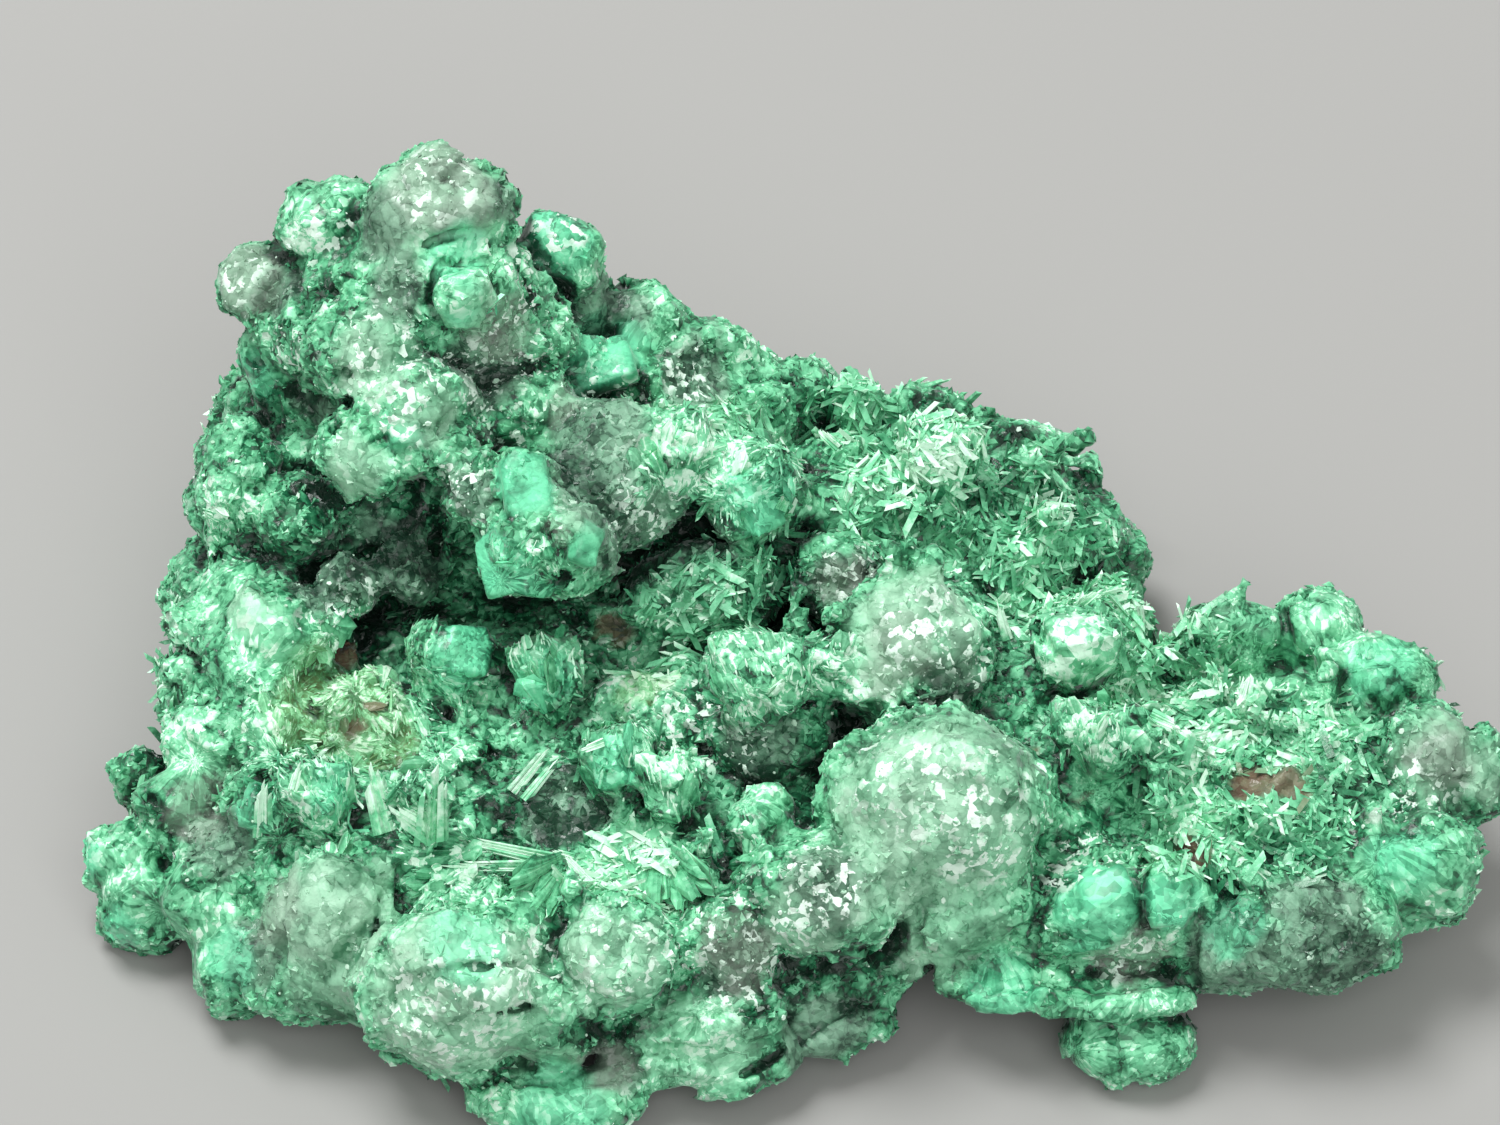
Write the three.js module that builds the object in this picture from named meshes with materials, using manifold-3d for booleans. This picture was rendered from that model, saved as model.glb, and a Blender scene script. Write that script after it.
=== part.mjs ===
// A specimen of fibrous malachite, grown as one piece: a crust of round-topped lobes on a rough plate, with
// a tower at the back left, an arm that leans forward from it over a hollow, fans of fibres broken open, beds
// of crystal blades, layered ledges under the front edge, and a base broken off flat, with hollows in it.
// Millimetres, +Z up. The specimen is read from the front, -Y, looking down at VIEW_ELEVATION.
import * as THREE from "three";
import { mergeVertices } from "three/addons/utils/BufferGeometryUtils.js";
import Module from "manifold-3d";

const wasm = await Module();
wasm.setup();

// Driving dimensions.
const VIEW_ELEVATION = THREE.MathUtils.degToRad(50); // above the horizon
const WAVE_HEIGHT = 0.55; // how far a large lobe departs from an even ellipsoid
const WAVE_SHARE = 0.08; // the same on a small lobe, as a share of its radius
const WAVE_LENGTH = 5.2; // from one swelling to the next
const FACE_SIZE = 1.1; // a lobe's triangles before their number is thinned out
const MOST_SPLITS = 5;
const FAN_SPLITS = 2;
const FAN_RIB_COUNT = 7;
const FAN_THICKNESS = 0.7; // of its width
const FAN_RIBS = 0.22; // how deep the grooves between ribs are, as a share of the radius
const FAN_ROOT = 0.4; // width at the root, as a share of the width at the broken end
const FAN_SWELL = 1.35; // fullness of its sides
const BLADE_WIDTH = 0.5;
const CRYSTAL_RADIUS = 0.75;
const GRASP = 0.4; // how deep a fan or blade sits in what it grows from
const FACE_LIMIT = 9800;
const COARSENING = 0.02; // how much more the surface may shift in each pass that thins out its faces
const FOLD_LIMIT = 0.35; // cosine of the most that a face may turn meanwhile
const NARROWEST_FACE = 0.04; // from an edge to the corner across from it
const FAR = 100;

// Each row is a lobe's centre and its three radii.
const CORE = [
  [[-4, -14, 3], [17, 12, 3.4]], // plate
  [[-14, -17.5, 3], [9.4, 8, 3.8]], // left front
  [[-8, -23.2, 3.6], [10.5, 3.2, 3.2]], // front edge
  [[20.5, -16.4, 4.2], [7.8, 6.9, 3.7]], // right wing
  [[13.5, -20.6, 4.2], [7, 3.1, 2.6]], // edge of the wing
  [[10, -14, 4], [8, 8.5, 4]], // neck of the wing
  [[5.2, -3, 4.4], [10.6, 5, 5]], // back ridge
  [[-19.2, -9, 4.4], [3.4, 8.4, 4.2]], // left edge
  [[-13.5, 0, 6], [8.3, 6.3, 7]], // foot of the tower
  [[-13.6, 0.6, 12.2], [6, 4, 6.6]], // tower
  [[-4, 0, 7.6], [6.4, 4.4, 4.8]], // shoulder
];

const TOWER = [
  [[-12.1, 1.7, 19], [3, 2.7, 2.8]], // crown
  [[-11.9, 0, 16.2], [3.8, 3.3, 3.8]], // brow
  [[-11, -2.5, 18.4], [1.2, 1.1, 1.1]], // button on the brow
  [[-9.2, -0.4, 14.4], [2.3, 2.4, 3.7]], // flank
  [[-7.5, 2.9, 15.4], [1.8, 1.7, 2.2]], // back knob
  [[-7, 2.4, 12.8], [1.8, 1.7, 2.6]], // its stalk
  [[-16.3, 2.6, 17.2], [2.5, 1.8, 2.1]], // left shoulder
  [[-19.2, 2, 15], [1.8, 1.7, 1.7]], // left knob
  [[-18.6, 0.6, 12], [1.9, 2.1, 3.2]], // left wall
  [[-9, -3.4, 12.8], [2.5, 2.4, 2.6]], // below the flank
  [[-6.2, -5.2, 11.2], [3.7, 3.2, 3.4]], // grey lobe behind the arm
];

const ARM = [
  [[-15, -2.2, 15.8], [2.8, 2.3, 2.4]], // root
  [[-13.1, -4.3, 14.8], [2.5, 2.2, 2.2]],
  [[-15.1, -6, 13.7], [2, 1.8, 1.8]], // lump below the arm
  [[-12, -5.8, 13.8], [1.9, 1.6, 1.7]],
  [[-10.3, -7.6, 13.1], [2.1, 1.7, 1.7]],
  [[-8.3, -9.3, 12.3], [2.6, 2.2, 2.3]], // end
  [[-6.4, -9.2, 12], [1.4, 1.3, 1.6]],
];

const LEFT_WALL = [
  [[-20.3, -3.4, 8.5], [2.2, 2.8, 3.3]],
  [[-18, -5.4, 9], [2, 1.9, 2.2]],
  [[-21.7, -8.4, 6.4], [1.3, 1.3, 1.3]], // bright knob
  [[-21.6, -10.4, 4.5], [1.8, 2, 2]],
  [[-18.6, -10, 7.4], [2.5, 2.2, 2.4]], // smooth lobe in front of the wall
  [[-16, -8.2, 8.1], [1.5, 1.4, 1.5]],
  [[-20.7, -13.9, 5.1], [2.7, 2.2, 2.3]],
  [[-23.9, -14.4, 3.4], [1.5, 1.6, 1.8]],
  [[-22.3, -16.3, 4], [2.3, 1.9, 2.1]],
  [[-24.4, -17.6, 2.8], [1.8, 1.7, 1.9]],
  [[-23.8, -19.2, 2], [2, 1.6, 2.2]], // left foot
  [[-20.6, -20, 3.4], [2.6, 2.2, 2.4]],
  [[-19.6, -22.1, 2.2], [2.4, 1.9, 2.1]],
  [[-18.8, -16.6, 5.7], [2.1, 1.8, 1.8]],
];

const FRONT = [
  [[-16.3, -22.1, 4.3], [2.7, 2.4, 3.4]],
  [[-11.5, -25.3, 4.5], [3.7, 3, 4]], // great front lobe
  [[-10.2, -23.4, 6], [3.4, 2, 1.8]], // its broken top
  [[-5, -24.3, 5.5], [2.7, 2.2, 2.6]], // front dome
  [[-7.7, -25.7, 3.9], [2.5, 2, 2.3]],
  [[-7.4, -28, 1.3], [3.2, 1.9, 1.5]], // front foot
  [[-1, -23.4, 5.3], [2.5, 1.9, 2.1]],
  [[2.7, -21.9, 6.1], [3.3, 2.7, 2.8]], // dome at the front right
  [[0.6, -19.4, 7.2], [1.6, 1.5, 1.8]],
  [[-14, -20.2, 5.8], [2.8, 1.9, 1.6]],
];

const LEDGES = [
  [[-2, -25.3, 3.8], [3.9, 1.9, 1.1]],
  [[-2.4, -26.2, 2.1], [4.2, 1.9, 1.2]],
  [[2.6, -24.4, 1.9], [3.2, 1.8, 1.2]],
  [[10.4, -23.7, 3.4], [3.6, 1.9, 1]],
  [[14.4, -23.9, 3], [3.2, 1.9, 0.9]],
  [[14.5, -25.2, 1.5], [2.7, 1.8, 1.7]], // right foot
];

const CENTRE = [
  [[7.2, -18.6, 6.7], [4.7, 4.2, 5]], // great dome
  [[8.2, -21.4, 4.8], [3.6, 2.3, 2.6]], // its skirt
  [[6.3, -11.6, 8.2], [3.5, 3.5, 3.5]], // upper dome
  [[3.6, -7.7, 8.2], [2, 1.8, 2]],
  [[-1.6, -7.8, 7.4], [3.2, 2.3, 2.2]],
  [[-3, -12.6, 6], [3.6, 2.4, 1.9]],
  [[1, -14.6, 6.6], [2.6, 2.4, 2.1]],
  [[-9.4, -12.2, 5.4], [3, 2.2, 1.6]],
  [[-7.4, -17, 5.6], [3.4, 1.9, 1.6]],
  [[-15.4, -13, 5.6], [2.8, 2.7, 1.7]],
];

const RIDGE = [
  [[-4.9, 2.4, 12.2], [2.5, 1.7, 1.8]],
  [[-1.7, 1.4, 10.8], [2.1, 1.8, 1.9]],
  [[-2, -3, 10], [2.6, 2.2, 2.4]],
  [[0.5, -4.6, 9], [2, 1.7, 2.4]],
  [[1.8, 1.1, 9.1], [1.7, 1.5, 1.6]],
  [[4.2, 1, 8.5], [1.6, 1.4, 1.6]],
  [[7.1, 0.8, 7.7], [2.1, 1.7, 1.8]],
  [[10.2, -0.4, 7], [2, 1.8, 1.8]],
  [[12.9, -3.9, 5.8], [2.1, 2, 2]],
  [[5.9, -3.2, 7.5], [3.2, 2.6, 2]],
  [[10.4, -5, 6.5], [3, 2.6, 1.9]],
  [[13.6, -8.9, 6.2], [2.6, 2.3, 1.8]],
];

const WING = [
  [[19, -9.8, 6.1], [2.7, 1.9, 2]],
  [[22.3, -9.5, 6.5], [2, 1.8, 2.1]],
  [[24.3, -11.7, 6.2], [2.4, 2.2, 2.4]],
  [[26.3, -15.1, 6], [2.1, 2, 2.1]],
  [[28.3, -15.4, 5.1], [1.6, 1.8, 2]], // right knob
  [[26.2, -19.6, 4.8], [2.5, 2.3, 2.6]],
  [[21.6, -22.4, 4.6], [3.8, 2.4, 2.6]],
  [[13.5, -22.1, 5.6], [2.1, 1.8, 2.2]],
  [[16.4, -22, 5.7], [1.8, 1.6, 2]],
  [[18.2, -22.7, 3.8], [2.2, 1.8, 1.9]],
  [[13.1, -11.6, 7.2], [2, 1.9, 1.9]],
  [[13.6, -16, 6.6], [2.5, 2.3, 1.8]],
];

const BACK = [
  [[-16, 3.8, 13], [3.2, 2, 3]],
  [[-11.4, 4.2, 12], [3, 2, 3.2]],
  [[-17, 4.6, 7.4], [3.2, 2.4, 3.2]],
  [[-20, 1.4, 6], [2.2, 2.8, 3.2]],
  [[-11.4, 5.6, 6.2], [3.2, 2.1, 3]],
  [[-5.6, 4.4, 7.2], [3.4, 2.2, 3.2]],
  [[-18.6, 3.6, 2.6], [2.7, 2.4, 2.6]],
  [[-12.8, 6.2, 2.4], [3.2, 2.1, 2.7]],
  [[-6, 5.6, 2.6], [3.3, 2.2, 2.7]],
  [[-0.4, 3.6, 5.2], [3, 2.3, 2.9]],
  [[4.6, 3.4, 3], [3, 2.2, 2.8]],
  [[10, 1.8, 3.4], [3, 2.3, 2.8]],
  [[13.8, -3.2, 3], [2.5, 2.8, 2.5]],
  [[18.4, -7.4, 3.2], [2.5, 2.2, 2.1]],
  [[-21.6, -5.2, 3.6], [2, 3, 2.7]],
  [[23.4, -9.8, 3.6], [3, 2, 1.8]],
];

// Hollows, taken away from what has grown.
const PITS = [
  [[-15, -8.6, 10.6], [1.9, 1.6, 1.2]], // under the arm
  [[-11.6, -9.4, 9.2], [2.2, 1.8, 1.5]],
  [[-4.6, -7.4, 9], [1.3, 1.2, 1.2]],
  [[1.6, -11.4, 8.6], [1.1, 1, 1]],
  [[-17, -10.6, 9.4], [1.2, 1, 1]],
  [[5.4, -22.6, 0], [3.4, 5, 2.3]], // notch in the front edge
  [[-1, -12, -0.8], [5, 4.4, 2]], // in the broken base
  [[-11, -8, -0.9], [4.4, 3.6, 1.9]],
  [[11, -12, -0.2], [4.6, 3.4, 1.6]],
  [[-13.6, -21, -0.7], [3.6, 2.6, 1.7]],
  [[3, -5, -0.9], [3.8, 2.8, 1.8]],
];

// From here on places are those that the viewer sees: mm across, and mm up the view, from below the arm.
// A fan spreads from its root towards its broken end; its rise is how far the end stands out of the surface.
const FANS = [
  { root: [-0.4, 0.4], end: [0, 5], width: 5, rise: 1 }, // on the slope below the ridge
  { root: [-3, 1.8], end: [-3.2, 5.8], width: 4, rise: 0.8 },
  { root: [-12.8, -5.6], end: [-10.8, -2.4], width: 4.6, rise: 0.9 }, // below the hollow
  { root: [-7.6, -6.4], end: [-8.2, -2.8], width: 3.4, rise: 0.9 },
  { root: [0, -6.6], end: [0.6, -2.8], width: 4.4, rise: 0.9 },
  { root: [2.8, -5.8], end: [3.2, -2.8], width: 3.2, rise: 0.8 },
  { root: [-16.4, -10.8], end: [-17, -7.6], width: 4, rise: 0.8 },
  { root: [-13, -11.2], end: [-12.4, -7.8], width: 3.2, rise: 1.2 },
  { root: [-5, -9.8], end: [-5.6, -6.4], width: 3.8, rise: 0.9 },
  { root: [-9.4, -10.8], end: [-8.4, -7], width: 2.6, rise: 0.9 },
  { root: [-2.8, -10.6], end: [-3.2, -7.6], width: 3, rise: 0.8 },
  { root: [-9.4, -11.6], end: [-13.4, -12.2], width: 3.2, rise: 0.8 },
  { root: [-3.6, -10.8], end: [-2.4, -13.6], width: 4.2, rise: 1 }, // over the front edge
  { root: [-7, -11.4], end: [-8.8, -13.6], width: 3.6, rise: 0.8 },
  { root: [12.6, -5], end: [13, -2.2], width: 4.4, rise: 0.8 }, // on the neck
  { root: [13.6, -8.4], end: [14, -5.4], width: 4.8, rise: 0.8 },
  { root: [7.4, 2.2], end: [8, 6], width: 4.2, rise: 0.7 },
  { root: [-13, 1.4], end: [-14, -1.4], width: 3.4, rise: 0.8 }, // under the arm's root
];

// Each row is a cleaved block: its place in the view, its size, and how it is turned about X, Y and Z.
const CLEAVED = [
  [[-8.8, 3.2], [2.5, 1.6, 2.2], [0.5, 0.7, 0.3]], // end of the arm
  [[-6.6, 1.2], [1.8, 1.8, 1.9], [0.9, 0.4, 0.9]],
  [[-5.9, 7.7], [4, 1.6, 2.4], [0.6, 0.5, 0.4]], // slab below the ridge
  [[-18.7, -9.8], [2.2, 1.6, 2.2], [0.7, 0.3, 0.8]],
];

// A bed is an ellipse in the view, strewn with crystals.
const BLADE_BEDS = [
  { middle: [9, 2.6], reach: [6.2, 4.4], count: 34 }, // slope behind the domes
  { middle: [19, -7], reach: [6.2, 4.8], count: 34 }, // top of the wing
  { middle: [-6, -12], reach: [5.4, 1.6], count: 14 }, // above the front lobes
  { middle: [-1, -2], reach: [5, 2], count: 12 }, // below the end of the arm
];
const CRYSTAL_BEDS = [
  { middle: [-2, -4.6], reach: [7, 4.4], count: 16 },
  { middle: [9, 2.4], reach: [6.6, 4.6], count: 14 },
  { middle: [19, -7.4], reach: [7, 5], count: 14 },
  { middle: [-14, -5.6], reach: [4.6, 3.4], count: 10 },
];

// A number from -1 to 1 that swells and sinks smoothly from place to place.
function waviness({ x, y, z }) {
  const k = (2 * Math.PI) / WAVE_LENGTH;
  const slow = Math.sin(k * x + 1.3) * Math.sin(k * y + 0.4) * Math.sin(k * z + 2.1);
  const fast = Math.sin(1.9 * k * x + 4.1) * Math.sin(1.7 * k * y + 0.9) * Math.sin(2.1 * k * z + 3.3);
  return slow + 0.6 * fast;
}

// Even numbers from 0 to 1, the same each time.
function dice(seed) {
  let state = seed;
  return () => {
    state = (state * 1664525 + 1013904223) % 4294967296;
    return state / 4294967296;
  };
}

function solidOf(geometry) {
  geometry.deleteAttribute("normal");
  geometry.deleteAttribute("uv");
  const merged = mergeVertices(geometry, 1e-5);
  const mesh = new wasm.Mesh({
    numProp: 3,
    vertProperties: merged.attributes.position.array,
    triVerts: new Uint32Array(merged.index.array),
  });
  return new wasm.Manifold(mesh);
}

function geometryOf(solid) {
  const mesh = solid.getMesh();
  const geometry = new THREE.BufferGeometry();
  geometry.setAttribute("position", new THREE.BufferAttribute(mesh.vertProperties, 3));
  geometry.setIndex(new THREE.BufferAttribute(mesh.triVerts, 1));
  return geometry;
}

const joined = (solids) => solids.reduce((all, solid) => all.add(solid));

// The outer body alone: pockets shut in between the lobes are filled.
function outerBody(solid) {
  return solid.decompose().reduce((a, b) => (a.volume() > b.volume() ? a : b));
}

function lobe([centre, radii]) {
  const size = Math.cbrt(radii[0] * radii[1] * radii[2]);
  const geometry = new THREE.IcosahedronGeometry(1, Math.min(Math.round(size / FACE_SIZE), MOST_SPLITS) - 1);
  const vertices = geometry.attributes.position;
  const middle = new THREE.Vector3(...centre);
  const scale = new THREE.Vector3(...radii);
  const height = Math.min(WAVE_HEIGHT, WAVE_SHARE * size);
  for (let i = 0; i < vertices.count; i++) {
    const outward = new THREE.Vector3().fromBufferAttribute(vertices, i);
    const even = outward.clone().multiply(scale).add(middle);
    outward.divide(scale).normalize();
    even.addScaledVector(outward, height * waviness(even));
    vertices.setXYZ(i, even.x, even.y, even.z);
  }
  return solidOf(geometry);
}

const TO_VIEWER = new THREE.Vector3(0, -Math.cos(VIEW_ELEVATION), Math.sin(VIEW_ELEVATION));
const VIEW_UP = new THREE.Vector3(0, Math.sin(VIEW_ELEVATION), Math.cos(VIEW_ELEVATION));

// Finds where the surface shows at a place of the view, and which way it faces.
function surfaceFinder(solid) {
  const target = new THREE.Mesh(geometryOf(solid), new THREE.MeshBasicMaterial());
  const ray = new THREE.Raycaster();
  return ([across, up]) => {
    const from = new THREE.Vector3(across, 0, 0).addScaledVector(VIEW_UP, up).addScaledVector(TO_VIEWER, FAR);
    ray.set(from, TO_VIEWER.clone().negate());
    const hit = ray.intersectObject(target)[0];
    return hit && { point: hit.point, outward: hit.face.normal };
  };
}

// Turns a shape that stands on +Y so that it points along a direction with its broad side to the viewer.
function stand(geometry, at, along) {
  const y = along.clone().normalize();
  const z = TO_VIEWER.clone().addScaledVector(y, -TO_VIEWER.dot(y)).normalize();
  const turn = new THREE.Matrix4().makeBasis(new THREE.Vector3().crossVectors(y, z), y, z);
  return geometry.applyMatrix4(turn.setPosition(at));
}

// A ribbed drop, narrow at its root and rounded at its broken end.
function fan({ root, end, width, rise }, surface) {
  const along = new THREE.Vector3(end[0] - root[0], 0, 0);
  along.addScaledVector(VIEW_UP, end[1] - root[1]).addScaledVector(TO_VIEWER, rise);
  const length = along.length() + GRASP;
  const geometry = new THREE.IcosahedronGeometry(1, FAN_SPLITS);
  const vertices = geometry.attributes.position;
  for (let i = 0; i < vertices.count; i++) {
    const v = new THREE.Vector3().fromBufferAttribute(vertices, i);
    const rib = 1 - FAN_RIBS * Math.abs(Math.sin((Math.atan2(v.x, v.z) * FAN_RIB_COUNT) / 2));
    const spread = (width / 2) * THREE.MathUtils.lerp(FAN_ROOT, FAN_SWELL, (v.y + 1) / 2) * rib;
    vertices.setXYZ(i, v.x * spread, ((v.y + 1) / 2) * length - GRASP, v.z * spread * FAN_THICKNESS);
  }
  return solidOf(stand(geometry, surface(root).point, along));
}

function cleaved([place, size, turns], surface) {
  const { point } = surface(place);
  const block = new THREE.BoxGeometry(...size).rotateX(turns[0]).rotateY(turns[1]).rotateZ(turns[2]);
  return solidOf(block.translate(point.x, point.y, point.z));
}

// Strews a bed with crystals, and leaves out those that would fall beside the specimen.
function strewn({ middle, reach, count }, surface, seed, make) {
  const roll = dice(seed);
  const places = Array.from({ length: count }, () => {
    const turn = 2 * Math.PI * roll();
    const out = Math.sqrt(roll());
    return [middle[0] + reach[0] * out * Math.cos(turn), middle[1] + reach[1] * out * Math.sin(turn)];
  });
  const spots = places.map(surface).filter((spot) => spot);
  return spots.map((spot) => make(spot, roll));
}

function blade({ point, outward }, roll) {
  const along = new THREE.Vector3(roll() - 0.5, roll() - 0.5, roll() - 0.5).multiplyScalar(1.9).add(outward);
  const length = 1.6 + 1.3 * roll();
  const width = BLADE_WIDTH * (0.8 + 0.6 * roll());
  const shape = new THREE.OctahedronGeometry(1).scale(width, length / 2, width / 2);
  return solidOf(stand(shape.translate(0, length / 2 - GRASP, 0), point, along));
}

function crystal({ point }, roll) {
  const shape = new THREE.OctahedronGeometry(CRYSTAL_RADIUS * (0.8 + 0.7 * roll()));
  shape.scale(1, 0.6 + 0.5 * roll(), 1).rotateX(3 * roll()).rotateZ(3 * roll());
  return solidOf(shape.translate(point.x, point.y, point.z));
}

function faceNormal(a, b, c) {
  return new THREE.Vector3().subVectors(b, a).cross(new THREE.Vector3().subVectors(c, a));
}

// Merges neighbouring vertices, least shift of the surface first, until few enough faces are left. It never
// folds the surface over, opens it or pinches it.
function thinned(geometry, faceLimit) {
  const place = geometry.attributes.position;
  const vertices = [];
  for (let i = 0; i < place.count; i++) vertices.push(new THREE.Vector3().fromBufferAttribute(place, i));
  const faces = new Set();
  const around = vertices.map(() => new Set());
  for (let i = 0; i < geometry.index.count; i += 3) {
    const face = [0, 1, 2].map((k) => geometry.index.getX(i + k));
    faces.add(face);
    face.forEach((v) => around[v].add(face));
  }
  const neighbours = (v) => new Set([...around[v]].flat().filter((other) => other !== v));
  const normal = (face) => faceNormal(...face.map((v) => vertices[v]));

  // How far the surface shifts where vertex a is merged into vertex b, or Infinity where that can't be done.
  function shift(a, b) {
    const shared = [...neighbours(a)].filter((v) => neighbours(b).has(v));
    if (shared.length !== 2) return Infinity;
    const step = new THREE.Vector3().subVectors(vertices[b], vertices[a]);
    let worst = 0;
    for (const face of around[a]) {
      const before = normal(face).normalize();
      worst = Math.max(worst, Math.abs(before.dot(step)));
      if (face.includes(b)) continue;
      const corners = face.map((v) => vertices[v === a ? b : v]);
      const after = faceNormal(...corners);
      const longest = Math.max(...corners.map((corner, k) => corner.distanceTo(corners[(k + 1) % 3])));
      const narrow = after.length() / longest < NARROWEST_FACE;
      if (narrow || after.normalize().dot(before) < FOLD_LIMIT) return Infinity;
    }
    return worst;
  }

  function merge(a, b) {
    for (const face of around[a]) {
      if (face.includes(b)) {
        faces.delete(face);
        face.forEach((v) => v !== a && around[v].delete(face));
      } else {
        face[face.indexOf(a)] = b;
        around[b].add(face);
      }
    }
    around[a].clear();
  }

  for (let most = COARSENING; faces.size > faceLimit; most += COARSENING) {
    for (let a = 0; a < vertices.length && faces.size > faceLimit; a++) {
      const choices = [...neighbours(a)].map((b) => ({ b, cost: shift(a, b) }));
      const best = choices.reduce((x, y) => (y.cost < x.cost ? y : x), { cost: Infinity });
      if (best.cost < most) merge(a, best.b);
    }
  }
  geometry.setIndex([...faces].flat());
  return mergeVertices(geometry, 1e-5);
}

function everythingBelow(height) {
  return solidOf(new THREE.BoxGeometry(2 * FAR, 2 * FAR, FAR).translate(0, 0, height - FAR / 2));
}

function specimen() {
  const rows = [CORE, TOWER, ARM, LEFT_WALL, FRONT, LEDGES, CENTRE, RIDGE, WING, BACK];
  const crust = outerBody(joined(rows.map((row) => joined(row.map(lobe)))));
  const surface = surfaceFinder(crust);
  const grown = [
    ...FANS.map((row) => fan(row, surface)),
    ...CLEAVED.map((row) => cleaved(row, surface)),
    ...BLADE_BEDS.flatMap((bed, i) => strewn(bed, surface, 101 + i, blade)),
    ...CRYSTAL_BEDS.flatMap((bed, i) => strewn(bed, surface, 201 + i, crystal)),
  ];
  const pits = joined(PITS.map(lobe));
  const whole = outerBody(joined([crust, ...grown]).subtract(pits));
  return outerBody(solidOf(thinned(geometryOf(whole), FACE_LIMIT)).subtract(everythingBelow(0)));
}

const malachite = new THREE.MeshStandardMaterial({ color: 0x2f8f68, roughness: 0.55, metalness: 0 });

const geometry = geometryOf(specimen());
geometry.computeBoundingBox();
const middle = geometry.boundingBox.getCenter(new THREE.Vector3());

const body = new THREE.Mesh(geometry, malachite);
body.name = "malachite";
body.position.set(-middle.x, -middle.y, 0);

const part = new THREE.Group();
part.add(body);
export default part;
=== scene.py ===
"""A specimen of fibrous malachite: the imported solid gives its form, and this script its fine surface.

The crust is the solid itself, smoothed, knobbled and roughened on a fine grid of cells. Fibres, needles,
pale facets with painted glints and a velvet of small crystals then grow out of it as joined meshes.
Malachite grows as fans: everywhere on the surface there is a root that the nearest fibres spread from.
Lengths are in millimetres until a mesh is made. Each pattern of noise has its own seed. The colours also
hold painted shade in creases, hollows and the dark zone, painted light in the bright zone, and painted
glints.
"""
import math

import bpy
import numpy as np
import openvdb
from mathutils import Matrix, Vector
from mathutils.bvhtree import BVHTree

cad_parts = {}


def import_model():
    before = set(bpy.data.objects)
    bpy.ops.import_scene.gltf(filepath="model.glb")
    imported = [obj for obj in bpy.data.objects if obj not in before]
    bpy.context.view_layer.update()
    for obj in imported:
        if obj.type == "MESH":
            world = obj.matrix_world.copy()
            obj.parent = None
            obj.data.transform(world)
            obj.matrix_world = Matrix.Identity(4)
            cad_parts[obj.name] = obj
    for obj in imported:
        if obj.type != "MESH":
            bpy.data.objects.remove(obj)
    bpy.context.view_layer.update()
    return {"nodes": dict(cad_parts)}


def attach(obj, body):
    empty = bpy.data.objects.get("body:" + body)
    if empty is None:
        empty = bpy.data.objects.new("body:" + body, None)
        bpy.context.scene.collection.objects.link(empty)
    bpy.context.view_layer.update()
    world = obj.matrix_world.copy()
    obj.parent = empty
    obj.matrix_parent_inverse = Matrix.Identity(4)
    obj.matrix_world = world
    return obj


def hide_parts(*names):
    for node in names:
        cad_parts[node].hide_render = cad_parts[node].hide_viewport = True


MM = 0.001
LATTICE = 32  # cells of noise before it repeats

# The photograph's camera, and the place on the ground that the middle of its picture shows.
PHOTO_WIDTH = 1500
PHOTO_HEIGHT = 1125
FOCAL_LENGTH = 7111  # in the photograph's pixels
VIEW_ELEVATION = math.radians(50)
VIEW_DISTANCE = 293.0
VIEW_TARGET = np.array([-1.82, 10.97, 0.0])
PIXELS_TO_A_MM = 25.5  # where the specimen is

# The crust, in millimetres.
CELL = 0.21
BAND = 5  # cells on each side of the surface
GRID_MARGIN = 4  # cells beyond the band
FAR_CELL = 0.6
FAR_BAND = 10
MERGING = 0.21  # how far the smoothing reaches
SHARPENING = 0.45
SHARPENING_REACH = 0.7
CRUST_PIECES = 3
LOBE_SPACING = 2.7
LOBE_HEIGHT = 0.34
NODULE_SPACING = 0.95
NODULE_HEIGHT = 0.13
BLOCK_SPACING = 1.1
BLOCK_TILT = 0.6
RIB_HEIGHT = 0.2
PLANE_SPACING = 3.1
PLANE_TILT = 0.22
GRAIN_SIZES = ((3.6, 0.3), (1.5, 0.14), (0.55, 0.07))  # size and height
FACE_RISE = 0.12
BAR_LENGTH = 9.0  # pixels between the places along a rim or a groove
LONGEST_BAR = 1.4
BAR_MARGIN = 0.6
BAR_ROUGHNESS = 0.18
FACE_THICKNESS = 0.9
FACE_MARGIN = 1.0
CREASE_STEPS = (0.3, 0.6, 0.9)  # how far out a crease is looked for
HOLLOW_STEPS = (1.5, 3.0, 5.0)
KNOBBLE_REACH = 0.8
HIGHEST_RISE = 0.6

# How a zone's share falls off about a spot, in the spot's own reaches, and how a fan of streaks is shaped.
SPOT_EDGE = 1.15
SPOT_FADE = 0.4
ROOT_DEPTH = 0.9  # millimetres below the surface
FAN_NECK = 0.35  # its width at the root, to its width at the end
SEEN = -0.25  # the least lean towards the viewer of what the photograph shows

# What grows on the crust, in millimetres.
BED_REACH = 0.35  # over which the way out is taken where things grow
LOWEST_ROOT = 0.12
GROUND_GAP = 0.02  # what grows stays this far above the ground
BLADE_RISE = (0.2, 2.4)  # the least and the most that a blade rises towards the viewer
BLADE_GAP = 0.15

# How much of it grows, to a square millimetre.
FIBRES = 11.0
WEDGES = 0.4
NEEDLES = 20.0
VELVET = 11.0
GLINT_FACETS = 2.4

# The finest faces of the crust, to a metre.
FACETS = 1150.0
CHIPS = 2900.0

TO_VIEWER = np.array([0.0, -math.cos(VIEW_ELEVATION), math.sin(VIEW_ELEVATION)])
VIEW_UP = np.array([0.0, math.sin(VIEW_ELEVATION), math.cos(VIEW_ELEVATION)])
VIEW_RIGHT = np.array([1.0, 0.0, 0.0])
EYE = VIEW_TARGET + VIEW_DISTANCE * TO_VIEWER

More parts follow.
